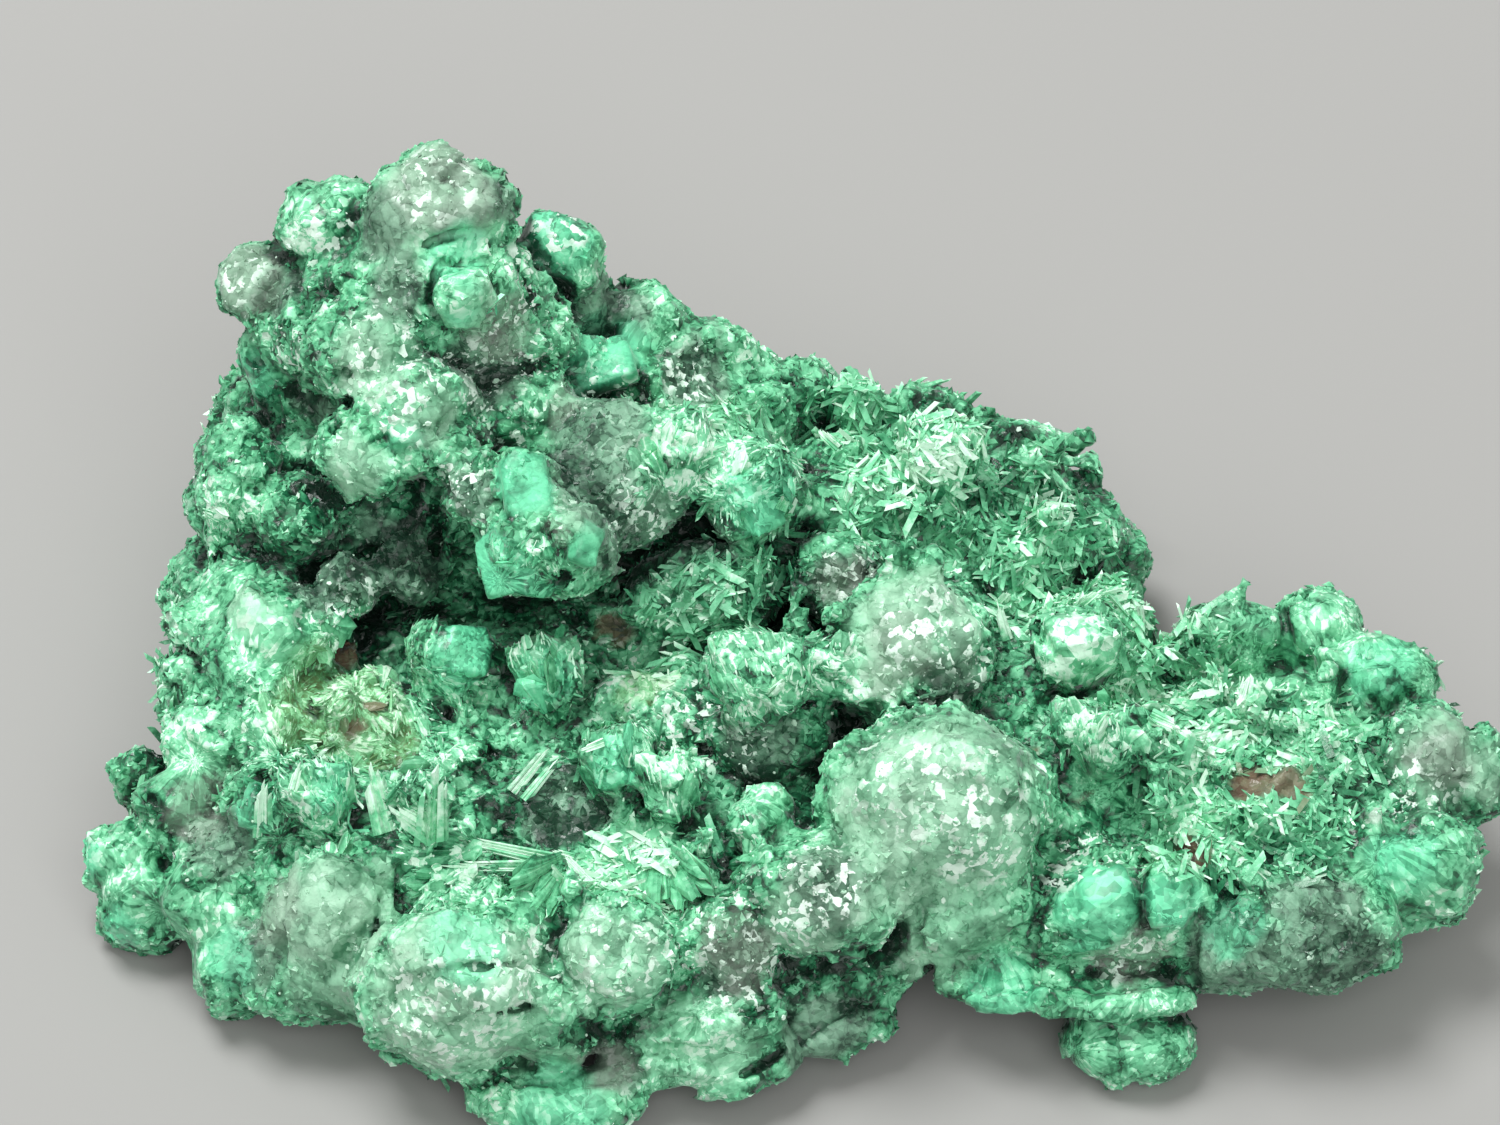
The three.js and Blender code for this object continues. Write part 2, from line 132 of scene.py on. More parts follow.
# What the photograph shows where: the pixel across and down, and how far the finish reaches from it.
ZONES = {
    "frosted": (
        (935, 820, 120), (945, 925, 66), (1000, 740, 56), (915, 630, 72), (440, 190, 70), (400, 225, 50),
        (480, 300, 30), (460, 1010, 100), (325, 920, 72), (330, 990, 50), (612, 960, 60), (800, 930, 44),
        (860, 880, 40), (1440, 765, 56), (1480, 775, 34), (250, 610, 34), (240, 265, 36), (385, 350, 46),
        (430, 410, 34), (355, 465, 34), (580, 520, 26), (560, 1070, 50), (700, 1040, 60),
    ),
    # Dark grey-green lobes, and painted shade: the hollow under the arm and the shaded sides of lobes.
    "dark": (
        (385, 225, 40), (500, 200, 30), (820, 890, 44), (1440, 765, 34), (445, 175, 24), (390, 560, 60),
        (610, 500, 84), (600, 430, 52), (480, 370, 50), (395, 290, 34), (700, 370, 42), (610, 310, 44),
        (690, 560, 54), (330, 580, 40), (570, 800, 46), (220, 840, 50), (250, 950, 40), (285, 285, 26),
        (950, 680, 40), (380, 560, 60), (310, 410, 30), (850, 580, 42), (465, 490, 34), (760, 740, 40),
        (1240, 960, 62), (1330, 960, 62), (740, 960, 34), (620, 1060, 34), (820, 1030, 44), (1210, 620, 30),
        (1280, 985, 60), (460, 226, 30), (1320, 900, 50),
    ),
    "needles": (
        (930, 480, 100), (1040, 530, 92), (1120, 590, 62), (850, 420, 56), (980, 430, 62), (1200, 720, 100),
        (1270, 800, 84), (1200, 830, 62), (1320, 740, 62), (1180, 650, 56), (700, 600, 60), (770, 570, 42),
        (650, 660, 32), (640, 880, 60), (1040, 610, 50), (740, 420, 34), (410, 600, 34), (1300, 850, 40),
    ),
    "fibrous": (
        (345, 720, 110), (300, 800, 66), (410, 800, 60), (465, 655, 50), (540, 685, 50), (610, 750, 60),
        (755, 680, 60), (675, 790, 44), (450, 870, 60), (540, 880, 56), (700, 880, 50), (745, 460, 80),
        (680, 460, 50), (1080, 655, 54), (1110, 735, 56), (825, 655, 30), (450, 255, 22), (230, 530, 40),
        (520, 570, 40),
    ),
    "teal": (
        (463, 293, 26), (610, 350, 40), (525, 480, 34), (590, 365, 40), (550, 225, 30), (500, 560, 34),
        (755, 500, 40), (455, 262, 34), (465, 942, 46), (262, 800, 24), (1095, 905, 50), (1170, 905, 34),
        (330, 800, 28), (1380, 665, 36), (120, 930, 24), (230, 960, 34), (1400, 860, 40), (460, 660, 36),
        (545, 680, 32), (1000, 990, 40), (560, 1105, 50), (610, 770, 26), (250, 380, 36), (560, 250, 34),
        (1240, 920, 34), (90, 850, 24),
    ),
    # Paler malachite, and painted light: lit tops and rims of lobes, and places that the lamps here leave in
    # shade.
    "bright": (
        (105, 870, 44), (1200, 700, 60), (1340, 700, 40), (610, 600, 40), (650, 690, 40), (400, 960, 50),
        (620, 970, 50), (960, 620, 40), (680, 620, 50), (600, 680, 54), (660, 640, 44), (545, 640, 44),
        (1150, 700, 60), (1280, 700, 70), (930, 600, 60), (460, 1010, 84), (930, 780, 60), (620, 660, 60),
        (300, 720, 60), (440, 870, 50), (750, 670, 46), (1075, 660, 50), (1110, 730, 40), (750, 820, 40),
        (825, 660, 24), (430, 800, 34), (320, 830, 34), (640, 870, 74), (250, 620, 46), (170, 740, 46),
        (100, 890, 64), (1350, 640, 44), (360, 700, 60), (615, 355, 24), (1230, 740, 90), (930, 470, 44),
        (190, 610, 30), (700, 450, 50), (400, 390, 34), (345, 455, 26), (463, 293, 46), (310, 220, 34),
        (470, 252, 40), (1000, 760, 44), (610, 940, 40), (500, 1080, 40), (690, 1050, 50), (225, 500, 40),
        (880, 710, 34), (625, 640, 50), (590, 670, 40), (560, 650, 34), (475, 990, 40), (925, 600, 34),
    ),
    # Where glints are painted, as near-white spots and pale facets.
    "painted_glints": (
        (960, 790, 40), (1000, 770, 40), (990, 850, 40), (925, 640, 54), (475, 990, 34), (536, 980, 20),
        (520, 330, 46), (520, 250, 30), (430, 180, 50), (385, 350, 50), (820, 890, 44), (690, 370, 34),
        (640, 520, 50), (600, 400, 50), (970, 665, 34), (720, 730, 60), (740, 840, 26), (330, 600, 50),
        (1130, 960, 34), (1420, 780, 50), (420, 400, 40), (560, 230, 30), (320, 225, 34), (240, 265, 34),
        (925, 700, 40), (870, 735, 30), (1020, 830, 30), (600, 670, 50), (470, 390, 50), (440, 1020, 70),
        (520, 960, 40), (612, 950, 50), (900, 790, 50), (680, 690, 40), (528, 280, 24), (524, 366, 24),
        (460, 490, 40), (300, 350, 40), (740, 940, 70), (1080, 860, 40), (850, 570, 40), (500, 430, 34),
        (536, 330, 24),
    ),
    "brown": (
        (1255, 787, 31), (1288, 782, 29), (1187, 862, 20), (345, 645, 22), (357, 718, 20), (610, 635, 24),
        (1035, 745, 10), (1080, 800, 12),
    ),
    "yellow": (
        (345, 700, 70), (380, 740, 40), (300, 720, 30), (640, 690, 30),
    ),
    "rosy": (
        (440, 185, 60), (250, 275, 40), (728, 932, 30), (756, 964, 26), (553, 540, 18), (563, 403, 18),
        (500, 330, 40), (205, 810, 40), (280, 900, 40), (1440, 760, 40), (1130, 955, 36), (850, 585, 36),
        (900, 650, 40), (610, 1060, 30),
    ),
    "silky": (
        (1350, 650, 80), (1310, 640, 50), (1400, 690, 40), (1410, 870, 70), (1370, 850, 40),
        (1095, 900, 56), (1168, 905, 44), (1100, 800, 46), (1235, 622, 56), (1080, 655, 50), (560, 250, 50),
        (610, 310, 34), (270, 630, 50), (230, 600, 40), (120, 880, 50), (90, 840, 40), (765, 820, 44),
        (320, 215, 50), (1110, 1035, 70), (1210, 950, 40), (560, 1105, 60), (700, 1050, 60),
        (800, 1040, 50), (255, 365, 40), (160, 900, 40), (200, 950, 50), (463, 293, 34), (640, 350, 40),
        (460, 650, 30), (100, 1000, 30), (180, 780, 40), (1000, 990, 44), (1480, 830, 40), (450, 262, 44),
    ),
}

# For the sides that it doesn't show: the size of each finish's patches, and how common they are.
HIDDEN = {
    "frosted": (6.0, 0.25), "dark": (7.0, -0.1), "bright": (4.0, -0.15), "teal": (3.0, -0.3),
    "painted_glints": (2.0, -0.2), "brown": (5.0, -0.6), "fibrous": (5.0, -0.4), "needles": (6.5, -0.35),
    "silky": (4.5, 0.0),
}

# Dark holes: the pixel and how wide they are. Grooves go from pixel to pixel, with their width in pixels.
HOLES = (
    (318, 400, 24), (335, 428, 20), (300, 392, 22), (255, 360, 22), (345, 372, 14), (290, 345, 16),
    (1357, 823, 16), (1237, 887, 18), (1200, 915, 16), (1135, 690, 24), (1065, 615, 20), (842, 728, 16),
    (628, 672, 16), (745, 590, 26), (780, 585, 20), (690, 862, 24), (720, 868, 22), (350, 400, 22),
    (300, 430, 20), (290, 330, 16), (730, 930, 14), (515, 1008, 14), (975, 470, 26), (1010, 500, 20),
    (1085, 560, 24), (820, 410, 30), (1180, 640, 26), (560, 575, 24), (400, 655, 20), (395, 548, 46),
    (432, 562, 40), (370, 560, 36), (1247, 590, 40), (280, 690, 16), (470, 770, 22), (700, 740, 18),
    (1010, 620, 16), (250, 740, 16), (640, 395, 20),
)
GROOVES = (
    ((432, 302), (446, 328), 14), ((446, 328), (480, 328), 14), ((480, 328), (496, 302), 14),
    ((290, 252), (300, 312), 16), ((576, 1030), (690, 1024), 24), ((690, 1020), (790, 1006), 10),
    ((1060, 966), (1190, 968), 20), ((820, 955), (880, 945), 10), ((490, 1012), (532, 1000), 12),
    ((440, 970), (556, 962), 9), ((846, 738), (990, 692), 8), ((374, 905), (390, 985), 12),
    ((285, 850), (282, 960), 12), ((545, 960), (566, 925), 10), ((740, 1075), (850, 1005), 12),
    ((1045, 900), (1030, 960), 12), ((1141, 862), (1146, 940), 9), ((560, 1040), (640, 1052), 12),
    ((505, 235), (545, 330), 10), ((1283, 600), (1290, 650), 12), ((1370, 700), (1385, 790), 14),
    ((930, 860), (918, 945), 10), ((490, 1084), (640, 1076), 12), ((1190, 900), (1195, 985), 10),
    ((424, 246), (446, 237), 10), ((446, 237), (474, 232), 13), ((474, 232), (508, 234), 9),
    ((300, 300), (302, 262), 12), ((434, 272), (432, 302), 12), ((496, 302), (490, 270), 12),
    ((440, 264), (488, 262), 9), ((150, 800), (200, 850), 12), ((190, 640), (215, 700), 10),
    ((200, 480), (215, 560), 10),
)

# Raised rims and ledges, from pixel to pixel, with their width in pixels.
RIMS = (
    ((457, 297), (469, 293), 96), ((1206, 628), (1222, 624), 92), ((1246, 624), (1262, 628), 92),
    ((1042, 1000), (1110, 1010), 58), ((1110, 1010), (1182, 1000), 58), ((830, 776), (856, 730), 14),
    ((856, 730), (910, 700), 14), ((910, 700), (985, 684), 14), ((985, 684), (1036, 712), 14),
    ((1290, 606), (1340, 602), 16), ((1340, 602), (1400, 628), 18), ((1400, 628), (1424, 664), 18),
    ((516, 250), (538, 300), 16), ((538, 300), (538, 372), 16), ((1062, 880), (1100, 858), 14),
    ((1146, 872), (1180, 880), 12), ((645, 1062), (720, 1074), 30), ((720, 1074), (800, 1040), 28),
    ((1410, 790), (1428, 740), 14), ((1428, 740), (1466, 752), 14), ((1466, 752), (1476, 790), 14),
    ((1040, 950), (1120, 944), 16), ((1120, 944), (1185, 950), 16), ((560, 920), (610, 906), 16),
    ((610, 906), (656, 920), 16), ((880, 540), (860, 600), 12),
)

# Fans that show from root to broken end: the two pixels, and how wide the end is, in pixels.
FANS = (
    ((745, 552), (752, 432), 130), ((668, 516), (664, 424), 100), ((424, 705), (466, 622), 90),
    ((556, 725), (538, 650), 80), ((780, 742), (738, 648), 90), ((776, 730), (784, 668), 60),
    ((822, 700), (828, 640), 60), ((332, 838), (318, 766), 90), ((622, 812), (604, 746), 80),
    ((678, 832), (664, 770), 70), ((510, 858), (408, 872), 80), ((658, 838), (690, 908), 100),
    ((572, 852), (522, 908), 80), ((1098, 788), (1108, 710), 100),
)

# Lobes whose streaks run the same way, on a smooth face.
STREAKS = (
    ((1345, 690), (1370, 620), 130), ((1330, 690), (1300, 630), 90), ((1150, 960), (1090, 880), 110),
    ((1195, 950), (1165, 880), 70), ((240, 700), (270, 620), 90), ((130, 900), (105, 850), 90),
    ((1072, 700), (1080, 628), 100), ((1370, 850), (1440, 900), 110), ((450, 310), (450, 240), 110),
)

# Large blades: the pixel of the root, the pixel of the tip, and the width in millimetres.
BLADES = (
    ((388, 832), (369, 764), 1.1), ((432, 842), (438, 766), 1.4), ((434, 836), (390, 806), 0.9),
    ((262, 836), (266, 776), 0.8), ((512, 792), (553, 742), 0.5), ((524, 800), (560, 756), 0.4),
    ((551, 860), (450, 838), 0.6), ((590, 884), (560, 852), 0.4), ((545, 866), (443, 866), 0.5),
    ((838, 448), (816, 428), 0.5), ((574, 858), (548, 850), 0.34), ((1082, 606), (1104, 588), 0.5),
    ((1000, 604), (1010, 590), 0.5), ((1008, 640), (996, 600), 0.45), ((780, 510), (796, 476), 0.45),
    ((846, 505), (852, 478), 0.4), ((1150, 716), (1182, 730), 0.6), ((1244, 700), (1250, 674), 0.45),
    ((604, 742), (578, 752), 0.36), ((292, 790), (300, 762), 0.36), ((1200, 682), (1180, 700), 0.5),
    ((1330, 720), (1326, 700), 0.4),
)

# Cleaved blocks whose flat face shows: the pixel, the face's width and height in pixels, how far it leans
# right and back, and its turn in degrees.
FACES = (
    ((526, 484), (46, 56), (0.15, 0.25), 8), ((590, 545), (26, 40), (0.7, 0.1), -20),
    ((500, 566), (46, 60), (-0.4, -0.1), 15), ((540, 575), (36, 46), (0.6, -0.2), -10),
    ((592, 368), (86, 46), (-0.2, 0.7), 14), ((636, 350), (34, 54), (0.7, 0.2), -8),
    ((614, 356), (34, 40), (-0.4, 0.3), 30), ((1168, 900), (34, 50), (0.4, 0.2), 8),
    ((1105, 884), (50, 30), (-0.2, 0.5), 20), ((260, 806), (24, 46), (0.6, 0.1), -15),
    ((403, 427), (30, 34), (0.1, 0.2), 10), ((764, 500), (40, 66), (0.8, 0.0), 18),
    ((604, 762), (30, 50), (-0.3, 0.2), 20), ((1400, 862), (40, 30), (0.5, 0.2), 0),
    ((470, 650), (40, 50), (0.3, 0.2), 0), ((550, 225), (36, 26), (-0.1, 0.6), 0),
    ((640, 766), (26, 40), (0.5, 0.1), -24),
)


def srgb(*channels):
    """A colour of a picture, 0 to 255, as the shader takes it."""
    shares = [channel / 255 for channel in channels]
    linear = [s / 12.92 if s <= 0.04045 else ((s + 0.055) / 1.055) ** 2.4 for s in shares]
    return (*linear, 1.0)


COLOURS = {
    # crease: the near-black green of painted shade in creases and hollows
    "crease": srgb(10, 38, 26),
    "shade": srgb(26, 98, 64),
    "middle": srgb(70, 154, 110),
    "mint": srgb(126, 212, 164),
    "tip": srgb(218, 252, 230),
    "frost": srgb(154, 200, 170),
    "frost_low": srgb(68, 128, 94),
    "dark_frost": srgb(122, 160, 136),
    "dark_low": srgb(36, 70, 53),
    # the near-white of painted glints on facets and in the glint zone
    "glint_white": srgb(226, 248, 234),
    "teal": srgb(104, 220, 170),
    "teal_low": srgb(18, 98, 66),
    "brown": srgb(116, 92, 76),
    "yellow": srgb(170, 206, 132),
    "rosy": srgb(142, 156, 142),
}


def smoothed_step(values):
    values = np.clip(values, 0, 1)
    return values * values * (3 - 2 * values)


def unit(vectors):
    return vectors / np.maximum(np.linalg.norm(vectors, axis=-1, keepdims=True), 1e-9)


def lattice_corners(places):
    """The lowest of the eight lattice corners about each place, and how far the place is from it."""
    cells = np.floor(places).astype(np.int32)
    share = (places - cells).astype(np.float32)
    return cells, share


def even_noise(points, size, seed):
    """Noise from -1 to 1 whose swellings are about that size across."""
    lattice = np.random.default_rng(seed).uniform(-1, 1, (LATTICE, LATTICE, LATTICE)).astype(np.float32)
    cells, share = lattice_corners(points / size)
    return blended(lattice, cells % LATTICE, smoothed_step(share), LATTICE)


def blended(values, cells, share, wrap):
    """Values on a lattice, blended between the eight corners about each place."""
    total = np.zeros(len(cells), np.float32)
    weights = [(1 - share[:, axis], share[:, axis]) for axis in range(3)]
    places = [(cells[:, axis], (cells[:, axis] + 1) % wrap) for axis in range(3)]
    for x, y, z in np.ndindex(2, 2, 2):
        weight = weights[0][x] * weights[1][y] * weights[2][z]
        total += weight * values[places[0][x], places[1][y], places[2][z]]
    return total


def nearest_seeds(points, spacing, seed, uneven=0.0):
    """The nearest of seeds scattered one to a cell, and how far that and the next one are.

    With unevenness, some seeds reach further than others.
    """
    dice = np.random.default_rng(seed)
    jitter = dice.uniform(0, 1, (LATTICE, LATTICE, LATTICE, 3)).astype(np.float32)
    reach = dice.uniform(1 - uneven, 1 + uneven, (LATTICE, LATTICE, LATTICE)).astype(np.float32)
    cells, share = lattice_corners(points / spacing)
    wrapped = [[(cells[:, axis] + step) % LATTICE for step in (-1, 0, 1)] for axis in range(3)]
    first = np.full(len(points), 9.0, np.float32)
    second = first.copy()
    nearest = np.zeros((len(points), 3), np.float32)
    for x, y, z in np.ndindex(3, 3, 3):
        near = wrapped[0][x], wrapped[1][y], wrapped[2][z]
        way = jitter[near] + (np.array((x, y, z), np.float32) - 1) - share
        away = np.sqrt(np.einsum("ij,ij->i", way, way)) * reach[near]
        closer = away < first
        second = np.where(closer, first, np.minimum(second, away))
        first = np.where(closer, away, first)
        nearest[closer] = way[closer]
    return points + nearest * spacing, first * spacing, second * spacing


def solid_mesh(node):
    """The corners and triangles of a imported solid, with doubled corners merged."""
    mesh = node.data
    corners = np.empty(len(mesh.vertices) * 3, np.float32)
    mesh.vertices.foreach_get("co", corners)
    corners = corners.reshape(-1, 3) / MM
    mesh.calc_loop_triangles()
    triangles = np.empty(len(mesh.loop_triangles) * 3, np.int32)
    mesh.loop_triangles.foreach_get("vertices", triangles)
    rounded = np.round(corners * 1e4).astype(np.int64)
    _, first, back = np.unique(rounded, axis=0, return_index=True, return_inverse=True)
    return corners[first], back.reshape(-1)[triangles.reshape(-1, 3)]


class Field:
    """Distances to a surface on a grid of cells, negative inside."""

    def __init__(self, corners, triangles, cell, band):
        self.cell = cell
        self.transform = openvdb.createLinearTransform(voxelSize=cell)
        grid = openvdb.FloatGrid.createLevelSetFromPolygons(
            corners.astype(np.float32),
            triangles=triangles.astype(np.uint32),
            transform=self.transform,
            halfWidth=band,
        )
        self.background = grid.background
        low, high = grid.evalActiveVoxelBoundingBox()
        self.low = np.array(low) - GRID_MARGIN
        self.values = np.empty(tuple(np.array(high) + GRID_MARGIN - self.low + 1), np.float32)
        grid.copyToArray(self.values, ijk=tuple(int(i) for i in self.low))

    def smoothed(self, reach):
        """The distances with the surface rounded off, and what stands close together merged."""
        steps = math.ceil(2.5 * reach / self.cell)
        offsets = np.arange(-steps, steps + 1)
        weights = np.exp(-0.5 * (offsets * self.cell / reach) ** 2)
        weights /= weights.sum()
        values = self.values
        for axis in range(3):
            total = np.zeros_like(values)
            for offset, weight in zip(offsets, weights):
                total += np.roll(values, offset, axis) * np.float32(weight)
            values = total
        return values

    def near_surface(self, reach):
        """The cells near the surface, and where they are."""
        cells = np.nonzero(np.abs(self.values) < reach)
        return cells, ((np.stack(cells, axis=1) + self.low) * self.cell).astype(np.float32)

    def cut_below(self, height):
        levels = (np.arange(self.values.shape[2]) + self.low[2]) * self.cell
        self.values = np.maximum(self.values, (height - levels)[None, None, :].astype(np.float32))

    def at(self, points):
        """The distances at any points."""
        cells, share = lattice_corners(points / self.cell - self.low)
        sizes = np.array(self.values.shape)
        return blended(self.values, np.clip(cells, 0, sizes - 2), share, sizes.max() + 1)

    def outward(self, points, reach):
        """The way out of the surface at points."""
        steps = reach * np.eye(3)
        return unit(np.stack([self.at(points + step) - self.at(points - step) for step in steps], axis=1))

    def openness(self, points, way, steps):
        """From 0 where things stand close along the way to 1 where nothing stands near."""
        return np.mean([np.clip(self.at(points + way * step) / step, 0, 1) for step in steps], axis=0)

    def surface(self):
        """The corners and four-sided faces of the largest part of the surface."""
        grid = openvdb.FloatGrid(self.background)
        grid.transform = self.transform
        grid.copyFromArray(np.ascontiguousarray(self.values), ijk=tuple(int(i) for i in self.low))
        corners, _, quads = grid.convertToPolygons(isovalue=0.0, adaptivity=0.0)
        part = np.arange(len(corners))
        settled = False
        while not settled:
            lowest = part[quads].min(axis=1)
            joined = part.copy()
            for side in range(4):
                np.minimum.at(joined, quads[:, side], lowest)
            joined = joined[joined]
            settled = np.array_equal(joined, part)
            part = joined
        kept = part[quads[:, 0]] == np.bincount(part).argmax()
        return corners, quads[kept][:, ::-1]


class Finder:
    """Finds what the photograph shows at a pixel, on a surface."""

    def __init__(self, corners, faces):
        self.tree = BVHTree.FromPolygons([Vector(c) for c in corners], faces.tolist())

    def place(self, pixel):
        across = (pixel[0] - PHOTO_WIDTH / 2) / FOCAL_LENGTH
        up = (PHOTO_HEIGHT / 2 - pixel[1]) / FOCAL_LENGTH
        ray = VIEW_RIGHT * across + VIEW_UP * up - TO_VIEWER
        point = self.tree.ray_cast(Vector(EYE), Vector(ray))[0]
        return None if point is None else np.array(point)

    def spots(self, rows):
        """The places of rows of pixels and reaches, with the reaches in millimetres."""
        found = [(self.place((u, v)), reach / PIXELS_TO_A_MM) for u, v, reach in rows]
        return [(point, reach) for point, reach in found if point is not None]

    def fans(self, rows):
        """The root below the surface, the end and the width of each fan that can be found."""
        found = [(self.place(root), self.place(end), width / PIXELS_TO_A_MM) for root, end, width in rows]
        found = [row for row in found if row[0] is not None and row[1] is not None]
        return [(root - TO_VIEWER * ROOT_DEPTH, end, width) for root, end, width in found]


def within(points, order, spots):
    """From 0 outside all of the spots to 1 well inside one. The order is the points' order along X."""
    most = np.zeros(len(points), np.float32)
    along = points[order, 0]
    for centre, reach in spots:
        edge = SPOT_EDGE * reach
        first, last = np.searchsorted(along, (centre[0] - edge, centre[0] + edge))
        near = order[first:last]
        near = near[np.abs(points[near, 1] - centre[1]) < edge]
        away = np.linalg.norm(points[near] - centre, axis=1) / reach
        most[near] = np.maximum(most[near], smoothed_step((SPOT_EDGE - away) / SPOT_FADE))
    return most


class Growth:
    """Which part of the surface has which finish, and where its fibres spread from."""

    def __init__(self, finder):
        self.spots = {name: finder.spots(rows) for name, rows in ZONES.items()}
        self.fans = finder.fans(FANS)
        self.streaks = finder.fans(STREAKS)

    def zones(self, points, outward):
        """Each zone's share from 0 to 1 at points."""
        push = 0.5 * even_noise(points, 1.6, 31) + 0.25 * even_noise(points, 0.5, 32)
        moved = points + push[:, None]
        order = np.argsort(moved[:, 0])
        zones = {name: within(moved, order, spots) for name, spots in self.spots.items()}
        seen = outward @ TO_VIEWER > SEEN
        for number, (name, (size, share)) in enumerate(HIDDEN.items()):
            patch = smoothed_step((even_noise(points, size, 41 + number) + share) / 0.25)
            zones[name] = np.maximum(zones[name], np.where(seen, 0.0, patch))
        rough = np.clip(zones["needles"] + zones["fibrous"], 0, 1)
        zones["frosted"] *= (1 - rough * 0.9) * (1 - zones["silky"] * 0.5)
        zones["dark"] *= 1 - rough * 0.8
        zones["fibrous"] *= (1 - zones["needles"]) * (1 - zones["silky"])
        zones["plain"] = 1 - np.clip(zones["frosted"] + zones["dark"] + zones["silky"] + rough, 0, 1)
        return zones

    def roots(self, points):
        """Where the fibres at points spread from, and how far out towards the fan's rim they are, 0 to 1."""
        roots, first, second = nearest_seeds(points, LOBE_SPACING, 11, 0.35)
        rim = first / second
        for root, end, width in self.fans + self.streaks:
            axis = end - root
            along = ((points - root) @ axis) / (axis @ axis)
            nearest = root + np.clip(along, 0, 1)[:, None] * axis
            reach = width / 2 * (FAN_NECK + (1 - FAN_NECK) * np.clip(along, 0, 1))
            inside = (np.linalg.norm(points - nearest, axis=1) < reach) & (along > -0.1) & (along < 1.25)
            roots[inside] = root
            rim[inside] = np.clip(along[inside] * 0.85, 0, 0.85)
        return roots, rim


